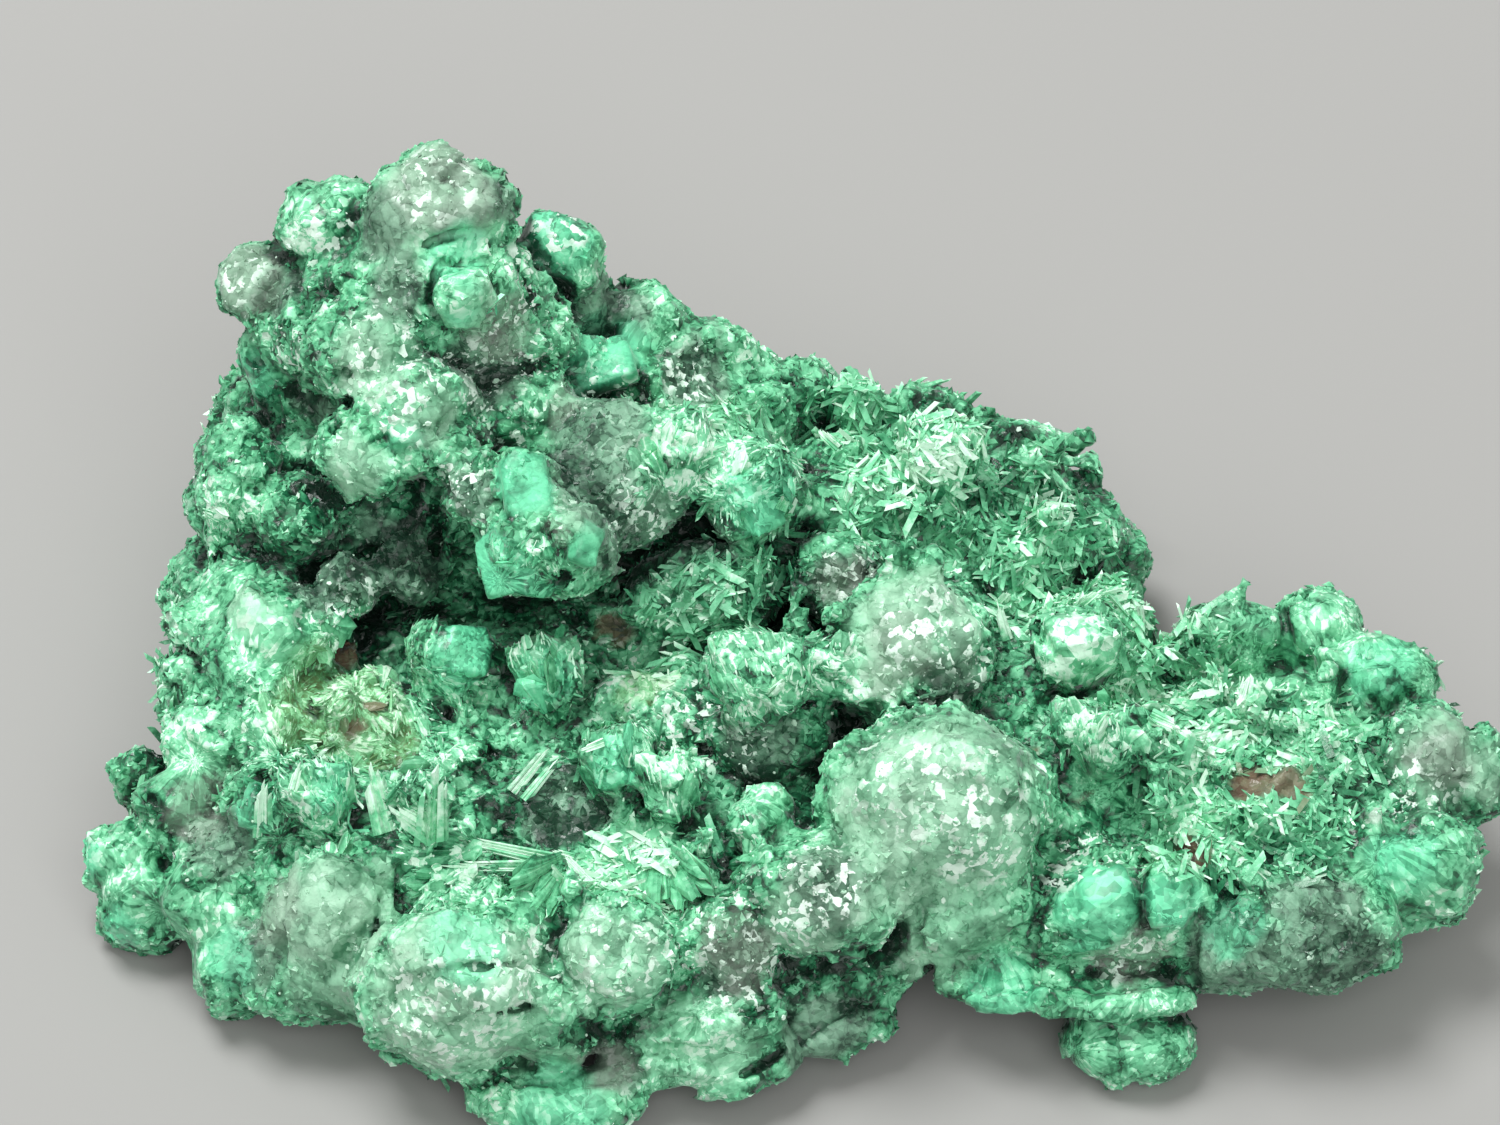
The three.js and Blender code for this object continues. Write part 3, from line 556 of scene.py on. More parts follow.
class Crust:
    """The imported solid's surface, sharpened, knobbled and carved, and what it is like at any point."""

    def __init__(self, node):
        corners, triangles = solid_mesh(node)
        self.far = Field(corners, triangles, FAR_CELL, FAR_BAND)
        self.field = Field(corners, triangles, CELL, BAND)
        self.field.values = self.field.smoothed(MERGING)
        finder = Finder(*self.field.surface())
        self.growth = Growth(finder)
        self.field.values += SHARPENING * (self.field.values - self.field.smoothed(SHARPENING_REACH))
        self.knobble()
        self.blocks = []
        self.carve(finder)
        self.field.cut_below(0.0)
        self.corners, self.quads = self.field.surface()

    def knobble(self):
        """Raises lobes, ribs, leaning blocks and planes, nodules and grains."""
        cells, points = self.field.near_surface(KNOBBLE_REACH)
        zones = self.growth.zones(points, self.field.outward(points, CELL))
        plain, fibrous, frosted, dark = (zones[name] for name in ("plain", "fibrous", "frosted", "dark"))
        smooth = np.clip(frosted + dark + zones["silky"], 0, 1)
        roots, rim = self.growth.roots(points)
        ribs = even_noise(unit(points - roots) * 3 + roots, 0.5, 14)
        blocks = nearest_seeds(points, BLOCK_SPACING, 15, 0.2)[0]
        tilts = np.stack([even_noise(blocks * 7, 1.0, seed) for seed in (16, 17, 18)], axis=1)
        planes = nearest_seeds(points, PLANE_SPACING, 19, 0.3)[0]
        plane_tilts = np.stack([even_noise(planes * 7, 1.0, seed) for seed in (24, 25, 26)], axis=1)
        nodules = 1 - np.minimum(nearest_seeds(points, NODULE_SPACING, 12)[1] / NODULE_SPACING * 1.2, 1) ** 2
        rise = LOBE_HEIGHT * (0.5 - rim ** 4) * (plain + 0.4 * fibrous + 0.2 * smooth)
        rise += RIB_HEIGHT * ribs * (fibrous + 0.25 * plain)
        broken = 0.6 * plain + fibrous + 0.16 * frosted + 0.35 * dark
        rise += BLOCK_TILT * np.sum((points - blocks) * tilts, axis=1) * broken
        rise += PLANE_TILT * np.sum((points - planes) * plane_tilts, axis=1)
        rise += NODULE_HEIGHT * (nodules - 0.4) * (plain + 0.35 * smooth)
        for number, (size, height) in enumerate(GRAIN_SIZES):
            rise += height * even_noise(points, size, 21 + number) * (1 - 0.5 * smooth)
        self.field.values[cells] -= np.clip(rise, -HIGHEST_RISE, HIGHEST_RISE).astype(np.float32)

    def carve(self, finder):
        """Adds the rims, holes, grooves and flat faces that the photograph shows."""
        for row in RIMS:
            self.add_bars(finder, *row, raised=True)
        for u, v, width in HOLES:
            self.add_bars(finder, (u, v), (u, v), width, raised=False)
        for row in GROOVES:
            self.add_bars(finder, *row, raised=False)
        for row in FACES:
            self.add_block(finder, *row)

    def add_bars(self, finder, first, last, width, raised):
        """Joins rough bars to the crust along the surface from pixel to pixel, or cuts them out of it."""
        steps = 1 + round(math.dist(first, last) / BAR_LENGTH)
        pixels = np.linspace(first, last, steps + 1)
        points = [point for point in map(finder.place, pixels) if point is not None]
        radius = width / 2 / PIXELS_TO_A_MM
        for start, end in zip(points[:-1], points[1:]):
            axis = end - start
            if np.linalg.norm(axis) > LONGEST_BAR:
                continue
            box, places = self.box(np.minimum(start, end), np.maximum(start, end), radius + BAR_MARGIN)
            along = np.clip(((places - start) @ axis) / max(axis @ axis, 1e-9), 0, 1)
            away = np.linalg.norm(places - start - along[..., None] * axis, axis=-1)
            away -= radius * (0.5 if raised else 1.0)
            uneven = even_noise(places.reshape(-1, 3), 0.6, 27).reshape(away.shape)
            away += min(radius * 0.5, BAR_ROUGHNESS) * uneven
            values = self.field.values[box]
            changed = np.minimum(values, away) if raised else np.maximum(values, -away)
            self.field.values[box] = changed.astype(np.float32)

    def add_block(self, finder, pixel, size, lean, turn):
        """Joins a cleaved block to the crust, with its flat face outermost."""
        middle = finder.place(pixel)
        if middle is None:
            return
        way = unit(TO_VIEWER + lean[0] * VIEW_RIGHT + lean[1] * VIEW_UP)
        level = unit(VIEW_RIGHT - way * (way @ VIEW_RIGHT))
        rising = np.cross(way, level)
        cosine, sine = math.cos(math.radians(turn)), math.sin(math.radians(turn))
        axes = np.stack([level * cosine + rising * sine, rising * cosine - level * sine, way], axis=1)
        half = np.array([*size, FACE_THICKNESS * PIXELS_TO_A_MM]) / 2 / PIXELS_TO_A_MM
        middle = middle - way * (half[2] - FACE_RISE)
        self.blocks.append((middle, axes, half))
        box, places = self.box(middle, middle, half.max() + FACE_MARGIN)
        local = np.abs((places - middle) @ axes) - half
        outside = np.linalg.norm(np.maximum(local, 0), axis=-1) + np.minimum(local.max(axis=-1), 0)
        self.field.values[box] = np.minimum(self.field.values[box], outside.astype(np.float32))

    def box(self, low, high, margin):
        """The cells from one corner to another with a margin, and where they are."""
        low = np.floor((low - margin) / CELL).astype(int) - self.field.low
        high = np.ceil((high + margin) / CELL).astype(int) - self.field.low
        box = tuple(slice(max(a, 0), min(b, size)) for a, b, size in zip(low, high, self.field.values.shape))
        return box, (np.stack(np.mgrid[box], axis=-1) + self.field.low) * CELL

    def look(self, points, reach=CELL):
        """The way out, the roots of the fibres, and each number that the materials use, at points."""
        outward = self.field.outward(points, reach)
        numbers = self.growth.zones(points, outward)
        roots, numbers["rim"] = self.growth.roots(points)
        numbers["cleaved"] = np.zeros(len(points))
        for middle, axes, half in self.blocks:
            beyond = (np.abs((points - middle) @ axes) - half).max(axis=1)
            numbers["cleaved"] = np.maximum(numbers["cleaved"], smoothed_step(1 - beyond / CELL))
        # Openness near and far, which the materials turn into painted shade in creases and sheltered
        # hollows.
        numbers["open"] = self.field.openness(points, outward, CREASE_STEPS)
        upward = unit(outward + [0.0, 0.0, 0.8])
        numbers["deep"] = self.far.openness(points, upward, HOLLOW_STEPS)
        return outward, roots, numbers


def made_object(name, corners, faces, material, smooth):
    """A mesh object of corners in millimetres."""
    mesh = bpy.data.meshes.new(name)
    sides = faces.shape[1]
    mesh.vertices.add(len(corners))
    mesh.vertices.foreach_set("co", (corners * MM).astype(np.float32).ravel())
    mesh.loops.add(faces.size)
    mesh.loops.foreach_set("vertex_index", faces.astype(np.int32).ravel())
    mesh.polygons.add(len(faces))
    mesh.polygons.foreach_set("loop_start", np.arange(0, faces.size, sides, dtype=np.int32))
    mesh.polygons.foreach_set("use_smooth", np.full(len(faces), smooth))
    mesh.update(calc_edges=True)
    mesh.materials.append(material)
    thing = bpy.data.objects.new(name, mesh)
    bpy.context.scene.collection.objects.link(thing)
    return thing


def give(mesh, numbers):
    """Gives a mesh a number or a vector for each corner under each name."""
    for name, values in numbers.items():
        kind, slot = ("FLOAT", "value") if values.ndim == 1 else ("FLOAT_VECTOR", "vector")
        mesh.attributes.new(name, kind, "POINT").data.foreach_set(slot, values.astype(np.float32).ravel())


# The forms of what grows: corners across, through and along, from the root at 0 to the tip at 1, then
# triangles, and how much paler or darker each corner is than its neighbours.
def spike_form():
    corners = [(math.cos(a), math.sin(a), 0.0) for a in (0.0, 2.1, 4.2)] + [(0.0, 0.0, 1.0)]
    return np.array(corners), np.array([(0, 1, 3), (1, 2, 3), (2, 0, 3)]), np.zeros(4)


def lying_form():
    """A blade that lies on the surface, with a ridge."""
    corners = [(-0.8, -0.5, 0.0), (0.8, -0.5, 0.0), (0.0, 0.6, 0.03), (-1.0, -0.5, 0.72), (1.0, -0.5, 0.78)]
    corners += [(0.1, 1.0, 0.74), (-0.3, 0.0, 1.0), (0.4, 0.1, 0.95)]
    triangles = [(0, 2, 5), (0, 5, 3), (2, 1, 4), (2, 4, 5), (3, 5, 6), (5, 4, 7), (5, 7, 6)]
    return np.array(corners), np.array(triangles), np.array([0.0, 0.0, 0.2, -0.1, 0.0, 0.3, 0.1, 0.1])


def prism_sides(count):
    """The triangles round a prism whose lower corners come before its upper ones."""
    sides = [(k, (k + 1) % count, count + (k + 1) % count) for k in range(count)]
    return sides + [(k, count + (k + 1) % count, count + k) for k in range(count)]


def sliver_form():
    """A three-sided blade with a slanting end."""
    corners = [(1.0, -0.4, 0.0), (-1.0, -0.4, 0.0), (0.2, 0.9, 0.0)]
    corners += [(0.8, -0.4, 0.86), (-0.7, -0.3, 1.0), (0.1, 0.8, 0.92)]
    triangles = np.array(prism_sides(3) + [(3, 4, 5)])[:, ::-1]
    return np.array(corners), triangles, np.array([0.0, 0.0, 0.1, 0.0, 0.1, 0.3])


def plate_form():
    """A low many-sided plate."""
    turns = (0.0, 1.1, 2.3, 3.3, 4.6, 5.5)
    corners = [(math.cos(a), math.sin(a), 0.0) for a in turns]
    corners += [(0.75 * math.cos(a) + 0.05, 0.75 * math.sin(a), 1.0) for a in turns]
    top = [(6, 7, 8), (6, 8, 9), (6, 9, 10), (6, 10, 11)]
    return np.array(corners), np.array(prism_sides(6) + top), np.zeros(12)


def fan_form(rng, ribs):
    """A ribbed fan of fused fibres, narrow at its root, with a rounded and jagged broken end."""
    across = np.sort([-1.0, *rng.uniform(-1, 1, ribs - 2), 1.0])
    heights = rng.uniform(-0.12, 0.12, ribs)
    broken = np.repeat(rng.uniform(-0.16, 0.05, 1 + ribs // 4), 4)[:ribs]
    ends = broken + rng.uniform(-0.04, 0.02, ribs) - 0.34 * across ** 2
    tones = rng.uniform(-0.45, 0.4, ribs)
    shares = (0.0, 0.3, 0.55, 0.78, 0.93, 1.0)
    corners, shifts = [], []
    for share, height in zip(shares, (0.25, 0.6, 0.85, 1.0, 0.85, 0.3)):
        spread = 0.16 + 0.84 * share ** 0.9
        top = height * (np.sqrt(1.02 - across ** 2) + heights)
        corners += [(x * spread, y, share + share ** 3 * end) for x, y, end in zip(across, top, ends)]
        corners += [(x * spread, -0.6 * height, 0.9 * share) for x in (0.6, -0.6)]
        shifts += [*tones, 0.0, 0.0]
    corners.append((0.0, 0.0, 0.93))
    shifts.append(0.0)
    ring = ribs + 2
    steps = np.arange(len(shares) - 1)[:, None] * ring
    first, after = steps + np.arange(ring), steps + (np.arange(ring) + 1) % ring
    sides = [(first, after + ring, after), (first, first + ring, after + ring)]
    sides = [np.stack(side, axis=-1).reshape(-1, 3) for side in sides]
    last = (len(shares) - 1) * ring
    cap = [(last + k, last + ring, last + (k + 1) % ring) for k in range(ring)]
    return np.array(corners), np.concatenate([*sides, cap]), np.array(shifts)


def grown(name, form, root, along, across, sizes, material, numbers):
    """A joined mesh of copies of a form on their roots, with the numbers of the place that each grows on."""
    corners, triangles, shifts = form
    length, width, thickness = (size[:, None, None] for size in sizes)
    through = np.cross(along, across)
    placed = (
        root[:, None]
        + across[:, None] * (corners[None, :, 0:1] * width / 2)
        + through[:, None] * (corners[None, :, 1:2] * thickness / 2)
        + along[:, None] * (corners[None, :, 2:3] * length)
    ).reshape(-1, 3)
    placed[:, 2] = np.maximum(placed[:, 2], GROUND_GAP)
    first = np.arange(len(root))[:, None, None] * len(corners)
    thing = made_object(name, placed, (triangles[None] + first).reshape(-1, 3), material, False)
    numbers = {key: np.repeat(values, len(corners), axis=0) for key, values in numbers.items()}
    numbers["tone"] = numbers["tone"] + np.tile(shifts, len(root))
    numbers["tip"] = np.tile(corners[:, 2], len(root))
    give(thing.data, numbers)
    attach(thing, "root")


class Bed:
    """Points strewn over the crust where things grow, and what the surface is like there."""

    def __init__(self, crust, density, chance, seed):
        self.rng = np.random.default_rng(seed)
        a, b, c, d = (crust.corners[crust.quads[:, k]] for k in range(4))
        halves = (a, b, c), (a, c, d)
        areas = sum(np.linalg.norm(np.cross(q - p, r - p), axis=1) for p, q, r in halves)
        chosen = self.rng.choice(len(areas), int(density * areas.sum() / 2), p=areas / areas.sum())
        s, t = self.rng.random((2, len(chosen), 1))
        near = a[chosen] * (1 - s) + b[chosen] * s
        far = d[chosen] * (1 - s) + c[chosen] * s
        points = near * (1 - t) + far * t
        outward, roots, numbers = crust.look(points, BED_REACH)
        kept = self.rng.random(len(points)) < chance(numbers)
        facing_down = self.rng.random(len(points)) >= 1.3 + outward[:, 2]
        kept &= (points[:, 2] > LOWEST_ROOT) & ~facing_down
        self.points, self.outward, self.roots = points[kept], outward[kept], roots[kept]
        self.numbers = {name: values[kept] for name, values in numbers.items()}
        self.numbers["tone"] = self.rng.random(len(self.points))

    def between(self, low, high):
        return self.rng.uniform(low, high, len(self.points))

    def scatter(self, amount):
        return amount * self.rng.normal(size=self.points.shape)

    def spreading(self, slope, low, high, looseness):
        """Ways that spread from the roots of the fans: laid down to a share of their slope, then lifted."""
        ways = unit(self.points - self.roots)
        ways -= self.outward * ((1 - slope) * np.sum(ways * self.outward, axis=1))[:, None]
        lift = self.outward * self.between(low, high)[:, None]
        return unit(unit(ways) + lift + self.scatter(looseness))

    def grow(self, name, form, root, along, across, sizes, material):
        grown(name, form, root, along, across, sizes, material, self.numbers)


def grow_fibres(name, crust, seed, material):
    """Blades fused side by side, which lie along the crust and spread from the roots of their fans."""
    bed = Bed(crust, FIBRES / 2, lambda numbers: numbers["fibrous"] * (1 - numbers["cleaved"]), seed)
    along = bed.spreading(slope=0.15, low=-0.05, high=0.1, looseness=0.06)
    across = unit(np.cross(bed.outward + bed.scatter(0.25), along))
    length = bed.between(0.3, 0.9)
    width = bed.between(0.06, 0.15)
    root = bed.points - along * (length * 0.5)[:, None] - bed.outward * 0.02
    bed.grow(name, lying_form(), root, along, across, (length, width, width * 0.6), material)


def grow_wedges(name, crust, seed, material):
    """Small fans of fused fibres that stand out of the fibrous places."""
    bed = Bed(crust, WEDGES / 2, lambda numbers: numbers["fibrous"], seed)
    along = bed.spreading(slope=0.2, low=0.1, high=0.7, looseness=0.2)
    across = unit(np.cross(bed.outward + bed.scatter(0.4), along))
    length = bed.between(0.9, 2.0)
    width = length * bed.between(0.35, 0.8)
    root = bed.points - along * (length * 0.5)[:, None] - bed.outward * 0.1
    form = fan_form(bed.rng, 11)
    sizes = (length, width, width * bed.between(0.2, 0.4))
    bed.grow(name, form, root, along, across, sizes, material)


def grow_fans(growth, material):
    """The fans that the photograph shows: broad bundles side by side, from the root to the broken end."""
    dice = np.random.default_rng(90)
    rows = []
    for root, end, width in growth.fans:
        axis = end - root + TO_VIEWER * 0.3
        reach = np.linalg.norm(axis)
        axis = axis / reach
        across = unit(np.cross(TO_VIEWER, axis))
        widest = math.atan2(width / 2, reach)
        for share in (-0.75, -0.3, 0.2, 0.7):
            turn = widest * (share + dice.uniform(-0.12, 0.12))
            lift = TO_VIEWER * dice.uniform(-0.15, 0.12)
            along = unit(axis * math.cos(turn) + across * math.sin(turn) + lift)
            rows.append((root, along, reach * dice.uniform(0.82, 1.05), width * dice.uniform(0.35, 0.55)))
    root, along, length, width = (np.array(column) for column in zip(*rows))
    across = unit(np.cross(TO_VIEWER + 0.3 * dice.normal(size=along.shape), along))
    full = np.ones(len(root))
    tone = dice.uniform(0.3, 0.8, len(root))
    # Set openness, which gives the fans next to no painted shade.
    numbers = {"tone": tone, "open": full * 0.8, "deep": full * 0.7, "rim": full * 0.5}
    form = fan_form(dice, 31)
    grown("fans", form, root, along, across, (length, width, width * 0.5), material, numbers)


def blade_reach(finder, root, tip):
    """Where a blade's root is, and its reach, which keeps it in front of what the photograph shows there."""
    base = finder.place(root)
    across, down = (tip[0] - root[0]) / PIXELS_TO_A_MM, (tip[1] - root[1]) / PIXELS_TO_A_MM
    rise, most = BLADE_RISE
    for share in (0.4, 0.7, 1.0):
        under = finder.place(np.array(root) * (1 - share) + np.array(tip) * share)
        if under is not None:
            rise = max(rise, ((under - base) @ TO_VIEWER + BLADE_GAP) / share)
    return base, VIEW_RIGHT * across - VIEW_UP * down + TO_VIEWER * min(rise, most)


def grow_blades(finder, material):
    """The large pale blades that the photograph shows one by one, each fused from a few side by side."""
    dice = np.random.default_rng(91)
    rows = []
    for foot, tip, width in BLADES:
        if finder.place(foot) is None:
            continue
        root, reach = blade_reach(finder, foot, tip)
        across = unit(np.cross(TO_VIEWER + 0.3 * VIEW_RIGHT, reach))
        for share in (-0.4, -0.2, 0.0, 0.2, 0.4):
            shift = across * share * width + TO_VIEWER * dice.uniform(-0.06, 0.1)
            end = reach * (1.0 - 0.6 * abs(share)) * dice.uniform(0.84, 1.04) + shift * 0.75
            rows.append((root + shift, end - shift, width * dice.uniform(0.2, 0.36)))
    root, reach, width = (np.array(column) for column in zip(*rows))
    length = np.linalg.norm(reach, axis=1)
    along = reach / length[:, None]
    across = unit(np.cross(TO_VIEWER + 0.35 * dice.normal(size=along.shape), along))
    full = np.ones(len(rows))
    tone = dice.uniform(0.3, 1.0, len(rows))
    # No painted shade on the blades, and the bright zone's paleness and painted light in full.
    numbers = {"tone": tone, "open": full, "deep": full, "bright": full, "rim": full * 0.8}
    grown("blades", sliver_form(), root, along, across, (length, width, width * 0.8), material, numbers)


def grow_needles(crust, material):
    """Beds of short blades that point every way."""
    bed = Bed(crust, NEEDLES, lambda numbers: numbers["needles"] * (1 - numbers["brown"]), 72)
    lying = unit(np.cross(bed.outward, bed.scatter(1.0)))
    along = unit(lying + bed.outward * bed.between(0.0, 0.45)[:, None])
    across = unit(np.cross(along, bed.outward + bed.scatter(0.5)))
    width = 0.12 + 0.27 * bed.between(0.0, 1.0) ** 3
    length = 0.3 + width * bed.between(1.6, 4.4)
    root = bed.points - along * (length * 0.3)[:, None]
    bed.grow("needles", sliver_form(), root, along, across, (length, width, width * 0.6), material)


def grow_velvet(crust, material):
    """Small crystal tips on all that has no fibres."""
    def chance(numbers):
        bare = (1 - numbers["needles"]) * (1 - numbers["fibrous"]) * (1 - numbers["cleaved"])
        return bare * (1 - 0.6 * numbers["frosted"]) * (1 - 0.9 * numbers["silky"])

    bed = Bed(crust, VELVET, chance, 73)
    along = unit(bed.outward + bed.scatter(0.3))
    across = unit(np.cross(along, bed.scatter(1.0)))
    width = 0.2 + 0.45 * bed.between(0.0, 1.0) ** 2
    root = bed.points - bed.outward * 0.05
    bed.grow("velvet", spike_form(), root, along, across, (width * 0.22 + 0.05, width, width), material)


def grow_glint_facets(crust, material):
    """Pale flat facets that catch the light; their near-white paleness is a painted glint."""
    bed = Bed(crust, GLINT_FACETS, lambda numbers: 0.05 + 0.6 * numbers["painted_glints"] ** 2, 74)
    along = unit(bed.outward + bed.scatter(0.25))
    across = unit(np.cross(along, bed.scatter(1.0)))
    width = 0.07 + 0.3 * bed.between(0.0, 1.0) ** 3
    thickness = width * bed.between(0.4, 1.0)
    root = bed.points - bed.outward * 0.02
    sizes = (bed.between(0.05, 0.1), width, thickness)
    bed.grow("glint_facets", plate_form(), root, along, across, sizes, material)


def rays(points, roots):
    """Places for a pattern of streaks, which changes fast around a root and slowly away from it."""
    away = np.linalg.norm(points - roots, axis=1, keepdims=True)
    return (points - roots) / np.maximum(away, 1e-6) * 6 + roots * 3 + away * [0.0, 0.5, 0.7]


def make_crust(crust, material):
    """Objects for the crust, side by side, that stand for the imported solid."""
    middles = crust.corners[crust.quads].mean(axis=1)[:, 0]
    bounds = np.quantile(middles, np.linspace(0, 1, CRUST_PIECES + 1))
    for number in range(CRUST_PIECES):
        quads = crust.quads[(middles >= bounds[number]) & (middles <= bounds[number + 1])]
        used, places = np.unique(quads, return_inverse=True)
        points = crust.corners[used]
        piece = made_object(f"crust_{number}", points, places.reshape(-1, 4), material, True)
        _, roots, numbers = crust.look(points)
        give(piece.data, {**numbers, "ray": rays(points, roots)})
        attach(piece, "root")
        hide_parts("malachite")


class Shader:
    """A material's nodes, put together by short calls."""

    def __init__(self, name):
        self.material = bpy.data.materials.new(name)
        self.material.use_nodes = True
        self.nodes = self.material.node_tree.nodes
        self.links = self.material.node_tree.links
        self.surface = self.nodes["Principled BSDF"]

    def node(self, kind, inputs=None, **settings):
        made = self.nodes.new(kind)
        for key, value in settings.items():
            setattr(made, key, value)
        for key, value in (inputs or {}).items():
            self.put(made.inputs[key], value)
        return made

    def put(self, socket, value):
        if isinstance(value, bpy.types.NodeSocket):
            self.links.new(value, socket)
        else:
            socket.default_value = value

    def places(self):
        return self.node("ShaderNodeTexCoord").outputs["Object"]

    def share(self, name):
        """A number that the mesh carries."""
        return self.node("ShaderNodeAttribute", attribute_name=name).outputs["Fac"]

    def by(self, name, *limits):
        """A number that the mesh carries, brought to a range."""
        return self.ranged(self.share(name), *limits)

    def mix(self, factor, first, second):
        """A colour that changes from the first to the second as the factor goes from 0 to 1."""
        made = self.node("ShaderNodeMix", data_type="RGBA")
        self.put(made.inputs[0], factor)
        self.put(made.inputs[6], first)
        self.put(made.inputs[7], second)
        return made.outputs[2]

    def combined(self, operation, values):
        result = values[0]
        for value in values[1:]:
            result = self.node("ShaderNodeMath", {0: result, 1: value}, operation=operation).outputs[0]
        return result

    def total(self, *values):
        return self.combined("ADD", values)

    def times(self, *values):
        return self.combined("MULTIPLY", values)

    def vector(self, operation, first, second, outcome="Vector"):
        return self.node("ShaderNodeVectorMath", {0: first, 1: second}, operation=operation).outputs[outcome]

    def first_channel(self, colour):
        return self.node("ShaderNodeSeparateColor", {"Color": colour}).outputs[0]

    def ranged(self, value, low, high, first=0.0, last=1.0):
        inputs = {"Value": value, "From Min": low, "From Max": high, "To Min": first, "To Max": last}
        return self.node("ShaderNodeMapRange", inputs, clamp=True).outputs["Result"]

    def warped(self, scale, reach):
        """Places pushed about by noise, so that a pattern of straight edges gets ragged ones."""
        place = self.places()
        inputs = {"Vector": place, "Scale": scale, "Detail": 3.0}
        push = self.node("ShaderNodeTexNoise", inputs).outputs["Color"]
        inputs = {0: push, 1: (reach, reach, reach), 2: place}
        return self.node("ShaderNodeVectorMath", inputs, operation="MULTIPLY_ADD").outputs[0]

    def mosaic(self, scale, place):
        """A number from 0 to 1 for each cell of a mosaic."""
        cells = self.node("ShaderNodeTexVoronoi", {"Vector": place, "Scale": scale})
        return self.first_channel(cells.outputs["Color"])

    def facets(self, scale, place):
        """Small flat faces that lean every way: a height in metres, and a number from 0 to 1 for each."""
        cells = self.node("ShaderNodeTexVoronoi", {"Vector": place, "Scale": scale}).outputs
        away = self.vector("SUBTRACT", place, cells["Position"])
        lean = self.vector("SUBTRACT", cells["Color"], (0.5, 0.5, 0.5))
        return self.vector("DOT_PRODUCT", away, lean, "Value"), self.first_channel(cells["Color"])

    def gaps(self, scale, place, width):
        """From 0 on the edges of the same faces to 1 away from them."""
        inputs = {"Vector": place, "Scale": scale}
        edges = self.node("ShaderNodeTexVoronoi", inputs, feature="DISTANCE_TO_EDGE")
        return self.ranged(edges.outputs["Distance"], 0.0, width)

    def noise(self, scale, detail=4.0):
        inputs = {"Vector": self.places(), "Scale": scale, "Detail": detail}
        return self.node("ShaderNodeTexNoise", inputs).outputs["Fac"]


def body_colour(shader, level):
    """Malachite's colour by a level from 0 to 1, from the near-black green of painted shade in creases to
    its pale tips.
    """
    colour = shader.mix(shader.ranged(level, 0.0, 0.3), COLOURS["crease"], COLOURS["shade"])
    colour = shader.mix(shader.ranged(level, 0.25, 0.5), colour, COLOURS["middle"])
    colour = shader.mix(shader.ranged(level, 0.45, 0.8), colour, COLOURS["mint"])
    return shader.mix(shader.ranged(level, 0.8, 1.0), colour, COLOURS["tip"])


def place_level(shader):
    """How pale the surface is by its place: painted shade in creases and hollows, darker where lobes meet,
    paler in the bright zone, partly as painted light, and blotched.
    """
    # Painted shade in sheltered hollows, which the bright zone partly lifts.
    depth = shader.total(shader.by("deep", 0.1, 0.8, -0.22, 0.05), shader.by("deep", 0.0, 0.3, -0.3, 0.0))
    return shader.total(
        shader.by("open", 0.2, 0.95, -0.3, 0.08),
        shader.times(depth, shader.by("bright", 0.0, 1.0, 1.0, 0.25)),
        shader.by("rim", 0.85, 1.0, 0.0, -0.2),
        shader.ranged(shader.noise(330.0, 2.0), 0.35, 0.65, -0.12, 0.12),
        shader.ranged(shader.noise(800.0), 0.3, 0.7, -0.14, 0.14),
        # Paler malachite and painted light in the bright zone.
        shader.times(shader.share("bright"), 0.21),
        shader.times(shader.share("dark"), -0.05),
    )


def zone_colours(shader, level):
    """The colour at a level, with what each zone's share mixes into it."""
    frost = shader.mix(shader.ranged(level, 0.1, 0.75), COLOURS["frost_low"], COLOURS["frost"])
    dark = shader.mix(shader.ranged(level, 0.1, 0.85), COLOURS["dark_low"], COLOURS["dark_frost"])
    teal = shader.mix(shader.ranged(level, 0.05, 0.75), COLOURS["teal_low"], COLOURS["teal"])
    clouds = shader.ranged(shader.noise(230.0), 0.4, 0.6, 0.45, 0.95)
    colour = body_colour(shader, level)
    for zone, strength, other in (
        ("frosted", clouds, frost),
        ("dark", 0.82, dark),
        ("teal", 0.55, teal),
        ("cleaved", 0.45, teal),
        ("yellow", 0.26, COLOURS["yellow"]),
        ("rosy", 0.4, COLOURS["rosy"]),
        ("brown", 0.85, COLOURS["brown"]),
    ):
        colour = shader.mix(shader.times(shader.share(zone), strength), colour, other)
    return colour


def finish(shader, colour, height, roughness, depth):
    """Puts a colour, a fine relief and a silky sheen on the shader's surface."""
    shader.put(shader.surface.inputs["Base Color"], colour)
    shader.put(shader.surface.inputs["Roughness"], roughness)
    shader.surface.inputs["Sheen Weight"].default_value = 0.22
    shader.surface.inputs["Sheen Roughness"].default_value = 0.32
    shader.surface.inputs["Sheen Tint"].default_value = (0.8, 1.0, 0.9, 1.0)
    bump = shader.node("ShaderNodeBump", {"Height": height, "Strength": 0.8, "Distance": depth})
    shader.put(shader.surface.inputs["Normal"], bump.outputs["Normal"])


